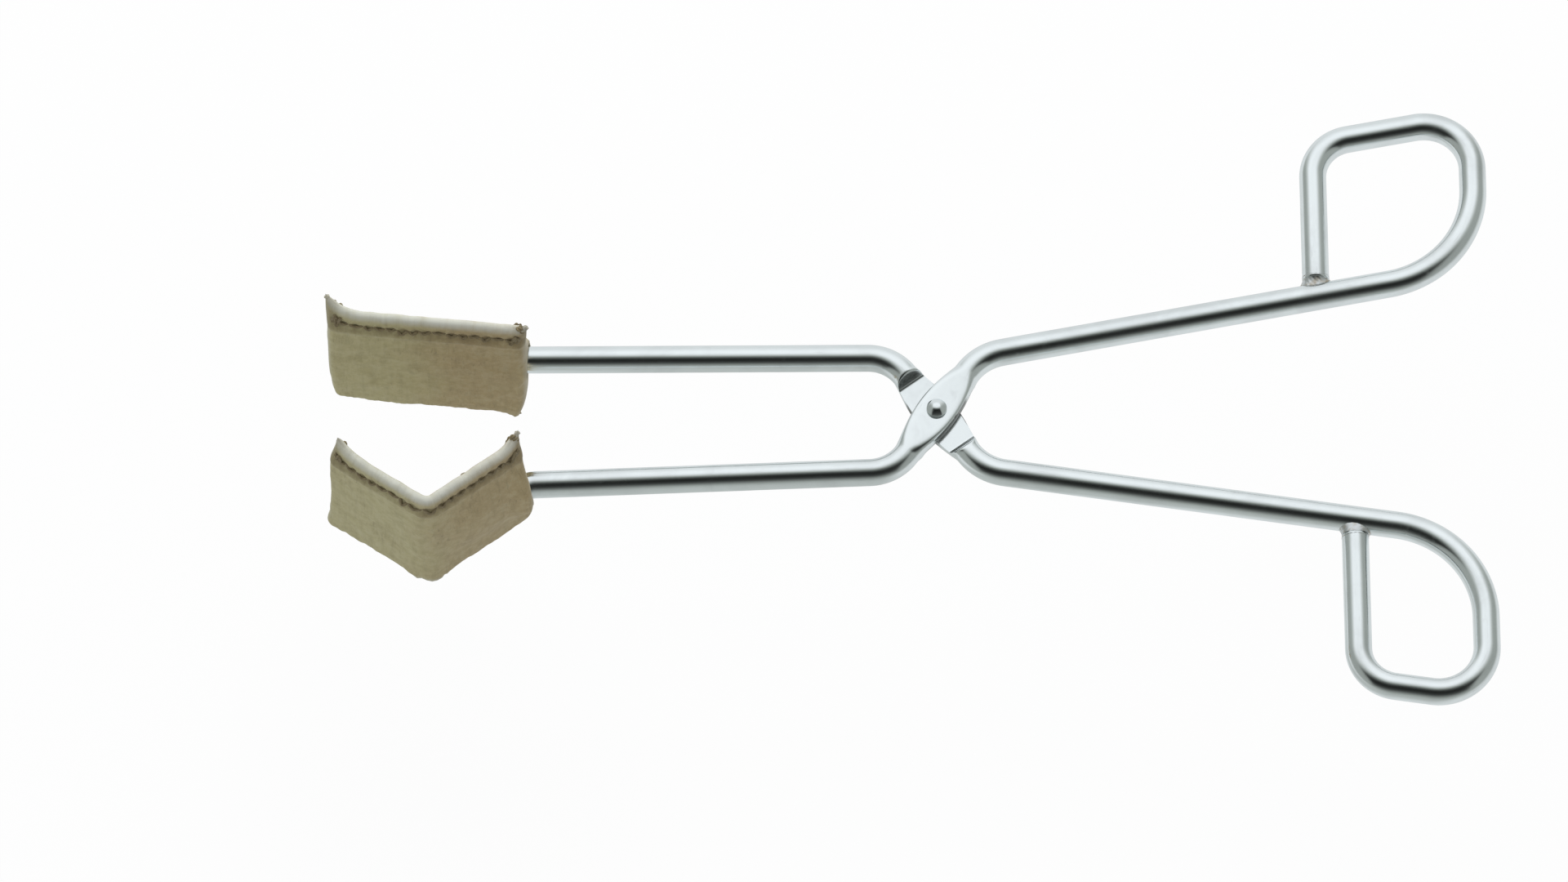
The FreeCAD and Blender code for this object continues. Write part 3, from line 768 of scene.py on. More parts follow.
def arm_rings(rods, jaws, route, tail_start, seed):
    """Sections of an arm along its route, as rings of points.

    A section is the oval |side / a|^p + |z / b|^p = 1. Over the blade a and p grow with
    (1 - q^2)^1.5 of the share q of the swell's half length, and z is kept above the lap plane by the
    soft larger of z and the step's height. In the tail a shrinks and b grows to the flat strap. The
    painted shade is darkest on the blade's walls in the lap's gap and along the foot of each
    shoulder, and lighter on the shoulders' slopes.
    """
    r = rods.rod_diameter / 2.0
    lap = route.nearest((0.0, 0.0))
    spots = [(lap, rods.swell_half_length * 1.15), (0.0, rods.tail_length * 0.6)]
    coarse, fine, around = 0.62, 0.20, 88
    s = stations(route.length, coarse, fine, spots)
    q = (s - lap)[:, None]
    swell = np.clip(1.0 - (q / rods.swell_half_length) ** 2, 0.0, 1.0) ** 1.5
    half = r + (rods.blade_width / 2.0 - r) * swell
    tall = r + (rods.blade_gap / 2.0 + rods.blade_thickness - r) * swell
    power = 2.0 + (rods.blade_squareness - 2.0) * swell
    x = (rods.tail_length - s)[:, None]
    flat = smooth(x, tail_start, tail_start + rods.tail_taper)
    half = half + (rods.tail_thickness / 2.0 - half) * flat
    wide = tall + (rods.tail_width / 2.0 - tall) * flat
    tip = rods.tail_tip**2 - np.clip(x - (rods.tail_length - rods.tail_tip), 0.0, rods.tail_tip) ** 2
    tall = np.minimum(wide, np.sqrt(np.maximum(tip, 0.04)))
    strap_power = 4.0
    power = power + (strap_power - power) * flat
    a = (np.arange(around) + 0.5)[None, :] * 2.0 * math.pi / around - math.pi / 2.0
    c, t = np.cos(a), np.sin(a)
    side = rods.tail_shift * flat + half * np.sign(c) * np.abs(c) ** (2.0 / power)
    z = tall * np.sign(t) * np.abs(t) ** (2.0 / power)
    level = rods.blade_gap / 2.0
    past = np.maximum(np.abs(q) - rods.blade_half_length, 0.0)
    foot = rods.shoulder_foot
    slope = (level + r) / (rods.shoulder_length - foot / 2.0)
    step = level - np.where(past < foot, past * past / (2.0 * foot), past - foot / 2.0) * slope
    far_below, barely_cut = -20.0, 0.15
    step = np.where(np.abs(q) > rods.swell_half_length * 1.4, far_below, step)
    cut = z < step + barely_cut
    blade_edge, more_on_shoulder = 0.22, 0.30
    z = soft_max(z, step, blade_edge + more_on_shoulder * smooth(past, 0.0, 1.2))
    # Painted shade: the blade's walls in the lap's gap, the foot of each shoulder and its slope get a mask
    # that darkens their colour.
    wall = smooth(np.abs(side), half - 0.35, half - 0.05) * (1.0 - smooth(z, 2.6, 3.1))
    wall = wall * (1.0 - smooth(np.abs(q), 5.5, 9.0))
    corner = bell(past - 0.35, 0.30) * smooth(past, 0.0, 0.2)
    ramp = 0.30 * smooth(past, 0.2, 0.9) * (1.0 - smooth(past, 1.6, rods.shoulder_length + 0.4))
    grime = np.maximum(wall * 0.85, np.where(cut, np.maximum(corner * 0.35, ramp), 0.0))
    clearance, waver_reach = 0.03, 16.0
    seat = jaws.plate_set - jaws.plate_thickness / 2.0 - clearance
    side = np.where((flat > 0.5) & (side > seat), seat, side)
    waver = rods.waver * ripple(s[:, None], a * r, waver_reach, seed)
    return s, side + waver * c, z + waver * t, np.broadcast_to(grime, z.shape)


def arm_piece(name, rods, jaws, route, tail_start, rear, node, seed):
    """One arm as a closed surface with its drawn-line coordinates, its heat mask and its painted-shade
    mask.
    """
    s, side, z, grime = arm_rings(rods, jaws, route, tail_start, seed)
    place, normal = route.at(s)
    rings = space((place[:, None, :], normal[:, None, :]), side, z)
    verts, quads, tris = skin(rings)
    cols = rings.shape[1]
    girth = math.pi * rods.rod_diameter
    along = np.concatenate([np.repeat(s, cols), [0.0, s[-1]]]) / 1000.0
    around = np.concatenate([np.tile(np.arange(cols) * girth / cols, len(s)), [0.0, 0.0]]) / 1000.0
    uv = np.stack([along, around, np.full_like(along, girth / 1000.0)], axis=-1)
    spread = heading(rods.handle_spread)
    foot = route.at(np.array([route.length]))[0][0]
    away = np.linalg.norm(verts[:, :2] - foot - spread * 0.3, axis=1)
    full_to, gone_by = 4.2, 10.5
    heat = 1.0 - smooth(away, full_to, gone_by)
    masks = {"heat": heat, "grime": np.append(grime.ravel(), [0.0, 0.0])}
    shape = (placed(verts, rear, rear), quads, tris)
    make_piece(name, shape, rear, node, polished_steel, uv, masks)


class TONGS_OT_arms(bpy.types.Operator):
    """Both bent rods, each from its flattened tail over the lap to the end of its ring"""

    bl_idname = "tongs.arms"
    bl_label = "Arms"

    def execute(self, context):
        rods = sizes(context.scene.tongs_rods)
        jaws = sizes(context.scene.tongs_jaws)
        v_rod, flat_rod, _ = rod_corners(rods, jaws)
        for name, corner, lean, bend, width, height, rear, seed in (
            ("front_rod", v_rod, jaws.v_leg_angle, jaws.v_rod_bend_radius,
             rods.finger_ring_width, rods.finger_ring_height, False, 11),
            ("rear_rod", flat_rod, jaws.flat_lean, jaws.flat_rod_bend_radius,
             rods.thumb_ring_width, rods.thumb_ring_height, True, 12),
        ):
            route = arm_route(rods, corner, lean, bend, width, height)
            turn = math.radians(lean - rods.jaw_arm_spread)
            tail_start = bend * math.tan(turn / 2.0) + 0.4
            node = "rear_arm" if rear else "front_arm"
            arm_piece(name, rods, jaws, route, tail_start, rear, node, seed)
        return {"FINISHED"}


class TONGS_OT_rivet(bpy.types.Operator):
    """The rivet: a domed head on each side of the blades, joined by its shank"""

    bl_idname = "tongs.rivet"
    bl_label = "Rivet"

    def execute(self, context):
        rods = sizes(context.scene.tongs_rods)
        rivet = sizes(context.scene.tongs_rivet)
        seat = rods.blade_gap / 2.0 + rods.blade_thickness + rivet.axial_clearance
        r = rivet.head_diameter / 2.0
        # A head falls from its top by the sum of tan(slope) dr, and its slope grows from the middle.
        edge_r = r - 0.08
        first_slope, more_slope, top_r, rim = 12.0, 33.0, 1.3, 0.12
        dome_r = np.linspace(0.03, edge_r, 30)
        slope = (first_slope + more_slope * dome_r / edge_r) * smooth(dome_r, 0.0, top_r)
        drop = np.tan(np.radians(slope))
        fall = sums((drop[1:] + drop[:-1]) / 2.0 * np.diff(dome_r))
        dome_z = seat + rivet.head_height - fall
        dome_z = np.append(dome_z, dome_z[-1] - rim)
        dome_r = np.append(dome_r, r)
        under_r = np.array([r - 0.05, r - 0.25, rivet.shank_diameter / 2.0])
        under_z = np.array([seat + 0.03, seat, seat])
        shank_r = np.full(5, rivet.shank_diameter / 2.0)
        shank_z = np.linspace(seat * 0.8, -seat * 0.8, 5)
        profile_r = np.concatenate([dome_r, under_r, shank_r, under_r[::-1], dome_r[::-1]])
        profile_z = np.concatenate([dome_z, under_z, shank_z, -under_z[::-1], -dome_z[::-1]])
        around, dents = 72, 0.018
        turn = circle(around)[None, :]
        uneven = dents * ripple(r * np.cos(turn), r * np.sin(turn) + profile_z[:, None], 3.0, 21)
        reach = profile_r[:, None] * (1.0 + uneven * (np.abs(profile_z[:, None]) > seat))
        height = np.broadcast_to(profile_z[:, None], reach.shape)
        rings = np.stack([reach * np.cos(turn), reach * np.sin(turn), height], axis=-1)
        verts, quads, tris = skin(rings)
        shape = (placed(verts, False), quads, tris)
        make_piece("rivet", shape, True, "pivot_rivet", rivet_steel)
        return {"FINISHED"}


def weld_collar(rods, width, seed):
    """Rings of a weld round a ring's end, each ring a closed section from the end to the handle.

    The foot of the weld is an oval on the handle's surface, wide along the handle and narrow across
    it: x = x0 + rx cos t, z = rz sin t, y = axis + sqrt(r^2 - z^2) / cos(spread). Its head is a circle
    on the ring's end. Between them the face is hollow, with small ripples.
    """
    r = rods.rod_diameter / 2.0
    spread = math.radians(rods.handle_spread)
    lap = heading(rods.lap_angle) * rods.lap_reach
    x0 = rods.ring_end - width
    around, leg, across, depth, sunk = 220, 0.75, 0.80, 0.34, 0.08
    t = circle(around)[:, None]
    uneven = ripple(t * r, t * 0.0, 4.0, seed)
    k = np.linspace(0.0, 1.0, 11)[None, :]
    foot_x = (r + leg + 0.10 * uneven) * np.cos(t)
    foot_z = (across * r + 0.08 * uneven) * np.sin(t)
    axis = lap[1] + (x0 - lap[0]) * math.tan(spread)
    foot_y = axis + foot_x * math.tan(spread) + np.sqrt(r * r - foot_z**2) / math.cos(spread) - sunk
    end_y = axis + r / math.cos(spread) + r * math.tan(spread) + rods.weld_gap
    head_y = end_y + rods.bead_length + 0.12 * uneven
    hollow = depth * np.sin(math.pi * k) + 0.03 * np.sin(2.0 * math.pi * (k * 2.5 + t * 3.0))
    head_r = r + 0.05
    x = (head_r * np.cos(t)) * (1.0 - k) + foot_x * k - hollow * np.cos(t)
    z = (head_r * np.sin(t)) * (1.0 - k) + foot_z * k - hollow * np.sin(t) * (1.0 - 0.4 * k)
    y = head_y + (foot_y - head_y) * k
    inside = 0.86 * head_r
    x = np.concatenate([x, foot_x * 0.8, inside * np.cos(t)], axis=1)
    z = np.concatenate([z, foot_z * 0.8, inside * np.sin(t)], axis=1)
    y = np.concatenate([y, foot_y - 0.5, head_y], axis=1)
    return np.stack([x0 + x, y, z], axis=-1)


class TONGS_OT_welds(bpy.types.Operator):
    """The weld that closes each ring, a hollow collar between the ring's end and its handle"""

    bl_idname = "tongs.welds"
    bl_label = "Welds"

    def execute(self, context):
        rods = sizes(context.scene.tongs_rods)
        for name, width, rear, node, seed in (
            ("finger_weld", rods.finger_ring_width, False, "finger_ring_weld", 31),
            ("thumb_weld", rods.thumb_ring_width, True, "thumb_ring_weld", 32),
        ):
            verts, quads, tris = skin(weld_collar(rods, width, seed), False, True)
            make_piece(name, (placed(verts, rear), quads, tris), rear, node, weld_steel)
        return {"FINISHED"}


def sleeve_rows(jaws, hole):
    """Heights of a sleeve's rows: close together at both edges and round the rod's hole."""
    inside = hole * np.sin(np.linspace(-math.pi / 2.0, math.pi / 2.0, 19))
    spread = np.sin(np.linspace(0.0, math.pi / 2.0, 34)[1:])
    down = -hole - (jaws.bottom - hole) * spread
    return np.concatenate([down[::-1], inside, hole + (jaws.top - hole) * spread])


def mouth(jaws, form, z):
    """The near end's middle, pushed over to the rod, and half its opening, by height."""
    swing = jaws.plate_set * (1.0 - smooth(np.abs(z), form.hole, form.hole + 9.0))
    return swing, np.sqrt(np.maximum(form.hole**2 - z * z, 0.0))


def corner_pull(jaws, form, s, z):
    """How far a sleeve's corners carry its points: (along, inwards, up).

    Each corner's pull fades with the squares of the shares left of the reaches along and up.
    """
    total = np.zeros(np.shape(s) + (3,))
    for end, rise, amount, reach in form.pulls:
        gap_s = (s - form.far_s) if end == "far" else (form.near_s - s)
        gap_z = (jaws.top - z) if rise == "top" else (z + jaws.bottom)
        weight = np.clip(1.0 - gap_s / reach[0], 0.0, 1.0) ** 2
        weight = weight * np.clip(1.0 - gap_z / reach[1], 0.0, 1.0) ** 2
        total = total + weight[..., None] * np.array(amount)
    return total


def seam_face(jaws, z):
    """Half the thickness of a sleeve by height: the hem's step, the pinch of the sewing, and the lip."""
    seam_z = jaws.top - jaws.seam_drop
    half = jaws.half_thickness
    half = half + (jaws.lip_half - half) * smooth(z, seam_z - 2.2, seam_z + 1.6)
    hem = jaws.hem * smooth(z, seam_z - jaws.hem_drop - 0.25, seam_z - jaws.hem_drop + 0.25)
    half = half + hem * (1.0 - smooth(z, seam_z - 1.6, seam_z))
    return half + (jaws.seam_half - half) * bell(z - seam_z, 1.0) * 0.8


def sleeve_surface(jaws, rods, form, s, z):
    """Offsets of a sleeve's inner and rod-side faces from the plate's middle line.

    Over the plate both are the half thickness. They draw in to the sewing below the top edge and
    swell to the lip above it. On the rod side the cloth spans the rod and its flat tail like a tent
    that falls smoothly to the plate's edges. At the far end both close; at the near end they close
    on a seam that opens into a round hole for the rod.
    """
    seam_z = jaws.top - jaws.seam_drop
    half = seam_face(jaws, z)
    pucker, pucker_pitch = 0.22, 3.1
    stitches = pucker * bell(z - seam_z, 0.9) * np.cos(2.0 * math.pi * s / pucker_pitch)
    top_round, bottom_round, oval = 2.3, 2.6, 2.2
    half = (half + stitches) * rounded(jaws.top - z, top_round, oval)
    half = half * rounded(z + jaws.bottom, bottom_round, oval)
    loose = smooth(jaws.top - 3.0 - z, 0.0, 6.0) * smooth(z + jaws.bottom, 0.5, 5.0)
    sag_in = jaws.sag * (ripple(s, z, 15.0, form.seed) * 0.6 + 0.4 * ripple(s, z, 5.5, form.seed + 1))
    sag_out = jaws.sag * (ripple(s, z, 17.0, form.seed + 2) * 0.7 + 0.45 * ripple(s, z, 6.0, form.seed + 3))
    x = form.near_x + (form.near_s - s)
    rod_slack, tail_slack = 0.25, 0.3
    over_rod = jaws.plate_set + rods.rod_diameter / 2.0 + rod_slack + jaws.cloth
    over_tail = jaws.plate_set - rods.tail_shift + rods.tail_thickness / 2.0 + tail_slack + jaws.cloth
    crest = over_rod + (over_tail - over_rod) * smooth(x, form.near_x + 1.5, form.near_x + 7.5)
    past_tail = smooth(x, rods.tail_length - 1.0, rods.tail_length + 12.0)
    crest = crest + (jaws.half_thickness - crest) * past_tail
    ridge, tent_foot = 3.2, 17.5
    tent = (crest - jaws.half_thickness) * (1.0 - smooth(np.abs(z), ridge, tent_foot))
    # The cloth doesn't sink past the plate or the rod inside it.
    inner = half + np.maximum(sag_in, -0.30) * loose
    outer = half + np.maximum(sag_out, -0.25) * loose + tent
    swing, gape = mouth(jaws, form, z)
    near_round, far_round = 2.4, 2.2
    near = rounded(form.near_s - s, near_round, 2.0)
    far = rounded(s - form.far_s, far_round, 2.0)
    outer = outer * near + (swing + gape) * (1.0 - near)
    inner = inner * near + (gape - swing) * (1.0 - near)
    return inner * far, -outer * far


def sleeve_rings(jaws, rods, form, s, z):
    """Points of a sleeve at stations s and heights z, round its rod-side and its inner face.

    The edges waver, the V's corner frays, and the corners are pulled. The mouth leans towards square
    to the rod: at offset o it stands back by a share of o * tan(slope).
    """
    inner, outer = sleeve_surface(jaws, rods, form, s, z)
    from_near = form.near_s - s
    pull = corner_pull(jaws, form, s, z)
    level = s * 0.0
    wave_top = 0.30 * ripple(s, level, 9.0, form.seed + 5) + 0.12 * ripple(s, level, 2.6, form.seed + 6)
    wave_low = 0.35 * ripple(s, level, 11.0, form.seed + 7) + 0.45 * ripple(s, level, 2.8, form.seed + 8)
    fray = bell(s - form.fray_s, 5.0) * form.fray
    wave_low = wave_low - fray * (1.8 + 1.7 * ripple(s, level, 2.6, form.seed + 10))
    wave_end = 0.30 * ripple(z, level, 9.0, form.seed + 9) * smooth(np.abs(z), 7.0, 12.0)
    at_ends = smooth(-from_near, -3.0, 0.0) - smooth(form.far_s - s, -3.0, 0.0)
    reach_s = s + pull[..., 0] + wave_end * at_ends
    reach_z = z + pull[..., 2] + wave_top * smooth(z, jaws.top - 8.0, jaws.top)
    reach_z = reach_z + wave_low * smooth(-z, jaws.bottom - 7.0, jaws.bottom)
    swing, gape = mouth(jaws, form, z)
    lean, reach = 0.30, 13.0
    back_by = lean * math.tan(form.slope) * np.clip(1.0 - from_near / reach, 0.0, 1.0) ** 2
    face_out = space(form.route.at(reach_s - back_by * (swing + gape)), outer + pull[..., 1], reach_z)
    face_in = space(form.route.at(reach_s - back_by * (swing - gape)), inner + pull[..., 1], reach_z)
    return np.concatenate([face_out, face_in[:, -2:0:-1]], axis=1)


def sleeve_masks(jaws, form, s, z):
    """Where a sleeve is pale from wear, along its edges and its frayed corner, and where it is stained.

    Along the top edge the paleness is also a painted highlight.
    """
    # Partly painted highlight: the top edge is paler from wear and also painted lighter, as if lit from
    # above.
    top_wear_and_highlight = smooth(z, jaws.top - 2.6, jaws.top + 0.4) ** 1.2
    frayed = form.fray * bell(s - form.fray_s, 3.5) * smooth(-z, jaws.bottom - 3.4, jaws.bottom - 0.8)
    low_edge = np.maximum(0.35 * smooth(-z, jaws.bottom - 1.6, jaws.bottom - 0.2), frayed)
    ends = np.minimum(s - form.far_s, form.near_s - s)
    end_edge = 0.45 * (1.0 - smooth(ends, 0.2, 1.6))
    over_seam = z - jaws.top + jaws.seam_drop
    seam = bell(over_seam + 0.9, 2.0) + 0.45 * bell(over_seam + jaws.hem_drop + 0.25, 0.45)
    corner = (1.0 - smooth(ends, 0.0, 6.5)) * smooth(z, jaws.top - 8.5, jaws.top - 2.5)
    groove = 0.25 * smooth(z, jaws.top - 0.06, jaws.top - 0.01)
    stained = np.clip(seam * 0.75 + corner * 0.75 + groove, 0.0, 1.0)
    return {"edge": np.maximum(top_wear_and_highlight, np.maximum(low_edge, end_edge)), "seam": stained}


def sleeve_piece(name, jaws, rods, form, rear, node):
    """A sleeve as a grid of stations by rows on each face, closed along its ends and round the hole."""
    rows = sleeve_rows(jaws, form.hole)
    stations_along, closer_at_ends = 118, 0.11
    t = np.linspace(0.0, 1.0, stations_along)
    t = t - closer_at_ends * np.sin(2.0 * math.pi * t)
    s = form.far_s + (form.near_s - form.far_s) * t
    S, Z = np.meshgrid(s, rows, indexing="ij")
    rings = sleeve_rings(jaws, rods, form, S, Z)
    m, cols = len(rows), rings.shape[1]
    index = np.arange(len(s) * cols).reshape(len(s), cols)
    back = np.arange(m, cols)
    mirror = 2 * m - 2 - back
    index[0, back] = index[0, mirror]
    shut = np.abs(rows[mirror]) >= form.hole - 1e-6
    index[-1, back[shut]] = index[-1, mirror[shut]]
    used, quads = np.unique(index.ravel()[ring_faces(len(s), cols)], return_inverse=True)
    shape = (placed(rings.reshape(-1, 3)[used], rear), quads.reshape(-1, 4), np.zeros((0, 3), dtype=int))
    middle = rings[len(s) // 2]
    step = np.linalg.norm(np.diff(middle, axis=0, append=middle[:1]), axis=1)
    around = sums(step)[:-1]
    girth = np.full(len(s) * cols, float(step.sum()))
    uv = np.stack([np.repeat(s, cols), np.tile(around, len(s)), girth], axis=-1)[used] / 1000.0
    both = [np.concatenate([grid, grid[:, -2:0:-1]], axis=1).ravel()[used] for grid in (S, Z)]
    masks = sleeve_masks(jaws, form, *both)
    piece = make_piece(name, shape, rear, node, woven_cloth, uv, masks)
    wall = piece.modifiers.new("cloth", "SOLIDIFY")
    wall.thickness = jaws.cloth / 1000.0
    wall.offset = -1.0
    wall.use_rim = True
    return piece


def sleeve_forms(jaws, rods):
    """Routes and ends of the two sleeves, from the jaw's tip to the rod's side."""
    v_rod, flat_rod, corner = rod_corners(rods, jaws)
    lean = jaws.v_leg_angle
    far = corner + heading(180.0 - lean) * jaws.v_leg_length
    near = corner + heading(lean) * jaws.v_leg_length
    v_route = Route([far, corner, near], [jaws.v_corner_radius])
    hole_slack = 0.35
    hole = rods.rod_diameter / 2.0 + jaws.cloth + hole_slack
    v_pulls = [
        ("far", "top", (0.9, 1.6, 2.6), (12.0, 12.0)),
        ("far", "bottom", (-1.9, -0.2, -0.6), (9.0, 22.0)),
        ("near", "top", (0.9, 1.6, 3.0), (7.0, 9.0)),
        ("near", "bottom", (3.6, 0.4, 0.2), (8.0, 14.0)),
    ]
    v_form = SimpleNamespace(
        route=v_route, far_s=0.0, near_s=v_route.length, near_x=jaws.v_near_end,
        hole=hole, slope=math.radians(jaws.v_leg_angle - rods.jaw_arm_spread), seed=51, pulls=v_pulls,
        fray=1.0, fray_s=v_route.length / 2.0,
    )
    way = heading(180.0 + jaws.flat_lean)
    inward = heading(jaws.flat_lean + 90.0)
    middle = flat_rod + inward * jaws.plate_set
    start = middle - way * jaws.flat_near
    end = start + way * jaws.flat_length
    halfway = (start + end) / 2.0
    nearly_straight = 4000.0
    flat_route = Route([end, halfway, start], [nearly_straight])
    flat_pulls = [
        ("far", "top", (0.0, 0.0, 3.0), (nearly_straight, 30.0)),
        ("far", "top", (-0.6, -3.6, 2.6), (9.0, 11.0)),
        ("far", "bottom", (1.3, 0.0, 0.8), (14.0, 20.0)),
        ("near", "top", (0.3, 0.2, 2.0), (4.5, 7.0)),
        ("near", "bottom", (-2.5, 0.4, -3.6), (10.0, 14.0)),
    ]
    flat_form = SimpleNamespace(
        route=flat_route, far_s=0.0, near_s=flat_route.length, near_x=-jaws.flat_near,
        hole=hole, slope=math.radians(jaws.flat_lean - rods.jaw_arm_spread), seed=71, pulls=flat_pulls,
        fray=0.3, fray_s=flat_route.length * 0.35,
    )
    return v_form, flat_form


class TONGS_OT_sleeves(bpy.types.Operator):
    """Both cloth sleeves, each drawn over its plate and closed round the rod"""

    bl_idname = "tongs.sleeves"
    bl_label = "Cloth sleeves"

    def execute(self, context):
        rods = sizes(context.scene.tongs_rods)
        jaws = sizes(context.scene.tongs_jaws)
        v_form, flat_form = sleeve_forms(jaws, rods)
        for name, form, rear, node, plate, thread in (
            ("v_sleeve", v_form, False, "v_jaw_sleeve", "v_jaw_plate", "v_sewing"),
            ("flat_sleeve", flat_form, True, "flat_jaw_sleeve", "flat_jaw_plate", "flat_sewing"),
        ):
            piece = sleeve_piece(name, jaws, rods, form, rear, node)
        return {"FINISHED"}


def running_stitch(jaws, thread, form, seed, offset):
    """Middle line of a running stitch along a sleeve's lip, in and out through the cloth.

    The side is a flattened sine of a phase that gains half a turn per stitch of uneven length. Each
    stitch sags between its two holes, and a second line half a turn on fills the spaces.
    """
    rng = np.random.default_rng(seed)
    margin, steps = 2.6, 22
    count = int((form.near_s - form.far_s - 5.0) / thread.pitch)
    gaps = 1.0 + thread.unevenness * rng.uniform(-1.0, 1.0, count)
    scale = (form.near_s - form.far_s - 2.0 * margin) / gaps.sum()
    knots = form.far_s + margin + sums(gaps) * scale
    s = np.linspace(knots[0], knots[-1], count * steps)
    phase = np.interp(s, knots, np.arange(count + 1) * math.pi) + offset * math.pi
    for _ in range(offset + 1):
        lift = rng.uniform(-0.35, 0.35, count + 1)
        droop = rng.uniform(0.15, 1.15, count)
    index = np.clip(np.searchsorted(knots, s, side="right") - 1, 0, count - 1)
    flatness = 3.6
    side = np.tanh(flatness * np.sin(phase)) / math.tanh(flatness)
    z = jaws.top - jaws.seam_drop + 0.25 + np.interp(s, knots, lift)
    z = z - droop[index] * np.abs(np.sin(phase)) ** 1.5
    reach = seam_face(jaws, z) + thread.diameter * 0.38
    return s, side * reach, z


class TONGS_OT_sewing(bpy.types.Operator):
    """The brown sewing: a running stitch along each lip, wraps at its ends and a knot"""

    bl_idname = "tongs.sewing"
    bl_label = "Sewing"

    def execute(self, context):
        rods = sizes(context.scene.tongs_rods)
        jaws = sizes(context.scene.tongs_jaws)
        thread = sizes(context.scene.tongs_thread)
        v_form, flat_form = sleeve_forms(jaws, rods)
        r = thread.diameter / 2.0
        for name, form, rear, node, seed in (
            ("v_sewing", v_form, False, "v_jaw_thread", 91),
            ("flat_sewing", flat_form, True, "flat_jaw_thread", 95),
        ):
            parts = []
            for s, side, z in (
                running_stitch(jaws, thread, form, seed, 0),
                running_stitch(jaws, thread, form, seed, 1),
                tacks(jaws, thread, form, seed, "far"),
                tacks(jaws, thread, form, seed, "near"),
            ):
                pull = corner_pull(jaws, form, s, z)
                points = space(form.route.at(s + pull[:, 0]), side + pull[:, 1], z + pull[:, 2])
                parts.append(twisted(points, r, thread.twist, 12))
            knot_s = np.array([form.near_s - 1.6])
            pull = corner_pull(jaws, form, knot_s, np.array([jaws.top - 1.0]))[0]
            place, normal = form.route.at(knot_s + pull[0])
            centre = np.append(place[0] + normal[0] * (pull[1] + 0.3), jaws.top + pull[2] - 0.1)
            for loop in (0, 1):
                parts.append(twisted(knot_line(centre, loop), r * 0.9, thread.twist, 10, True))
            verts, quads, tris = joined([shape for shape, _ in parts])
            uv = np.concatenate([uv for _, uv in parts])
            shape = (placed(verts, rear), quads, tris)
            make_piece(name, shape, rear, node, brown_thread, uv)
        return {"FINISHED"}


def tacks(jaws, thread, form, seed, end):
    """Uneven tacking stitches at an end of the lip: a zigzag on one face, then one on the other."""
    rng = np.random.default_rng(seed + (7 if end == "far" else 9))
    t = np.linspace(0.0, 1.0, 260)
    swing = np.sin(2.0 * math.pi * 5.0 * t + rng.uniform(0.0, 6.0))
    seam_z = jaws.top - jaws.seam_drop
    z = seam_z + 0.55 + (1.05 + 0.4 * np.sin(7.0 * t + seed)) * swing
    gap = 1.7 + 1.9 * np.abs(2.0 * np.abs(2.0 * t - 1.0) - 1.0) + 0.25 * np.cos(2.0 * math.pi * 5.0 * t)
    s = form.far_s + gap if end == "far" else form.near_s - gap
    side = np.tanh(14.0 * (t - 0.5)) / math.tanh(7.0)
    return s, side * (seam_face(jaws, z) + thread.diameter * 0.38), z


def knot_line(centre, seed):
    """A trefoil knot: ((2 + cos 3a) cos 2a, (2 + cos 3a) sin 2a, sin 3a), scaled and leaned."""
    a = circle(160)
    size = 0.24 + 0.05 * seed
    flat = (2.0 + np.cos(3.0 * a)) * size
    raw = np.stack([flat * np.cos(2.0 * a), flat * np.sin(2.0 * a), np.sin(3.0 * a) * size * 1.3], axis=-1)
    lean = Matrix.Rotation(0.9 + 1.3 * seed, 3, "X") @ Matrix.Rotation(0.5 + seed, 3, "Z")
    return raw @ np.array(lean).T + centre + np.array([0.4 * seed, 0.0, -0.4 * seed])


def twisted(points, r, twist, around, closed=False):
    """Tube of two strands: radius r * (0.86 + 0.14 |cos(a - pi s / twist)|) along the line."""
    step = np.linalg.norm(np.diff(points, axis=0), axis=1)
    s = sums(step)
    a = circle(around)[None, :]
    radius = r * (0.80 + 0.24 * np.abs(np.cos(a - math.pi * s[:, None] / twist)))
    rings = swept(points, radius, around, closed, (0.31, 0.22, 0.93))
    verts, quads, tris = skin(rings, not closed, closed)
    girth = 2.0 * math.pi * r
    along = np.repeat(s, around)
    round_ = np.tile(np.arange(around) * girth / around, len(s))
    if not closed:
        along = np.append(along, [0.0, s[-1]])
        round_ = np.append(round_, [0.0, 0.0])
    uv = np.stack([along, round_, np.full_like(along, girth)], axis=-1) / 1000.0
    return (verts, quads, tris), uv


class TONGS_OT_plates(bpy.types.Operator):
    """Mill steel finish for the two plates inside the sleeves, which keep their CAD shape"""

    bl_idname = "tongs.plates"
    bl_label = "Jaw plates"

    def execute(self, context):
        for node in ("v_jaw_plate", "flat_jaw_plate"):
            coat(frame["nodes"][node], plate_steel)
        return {"FINISHED"}


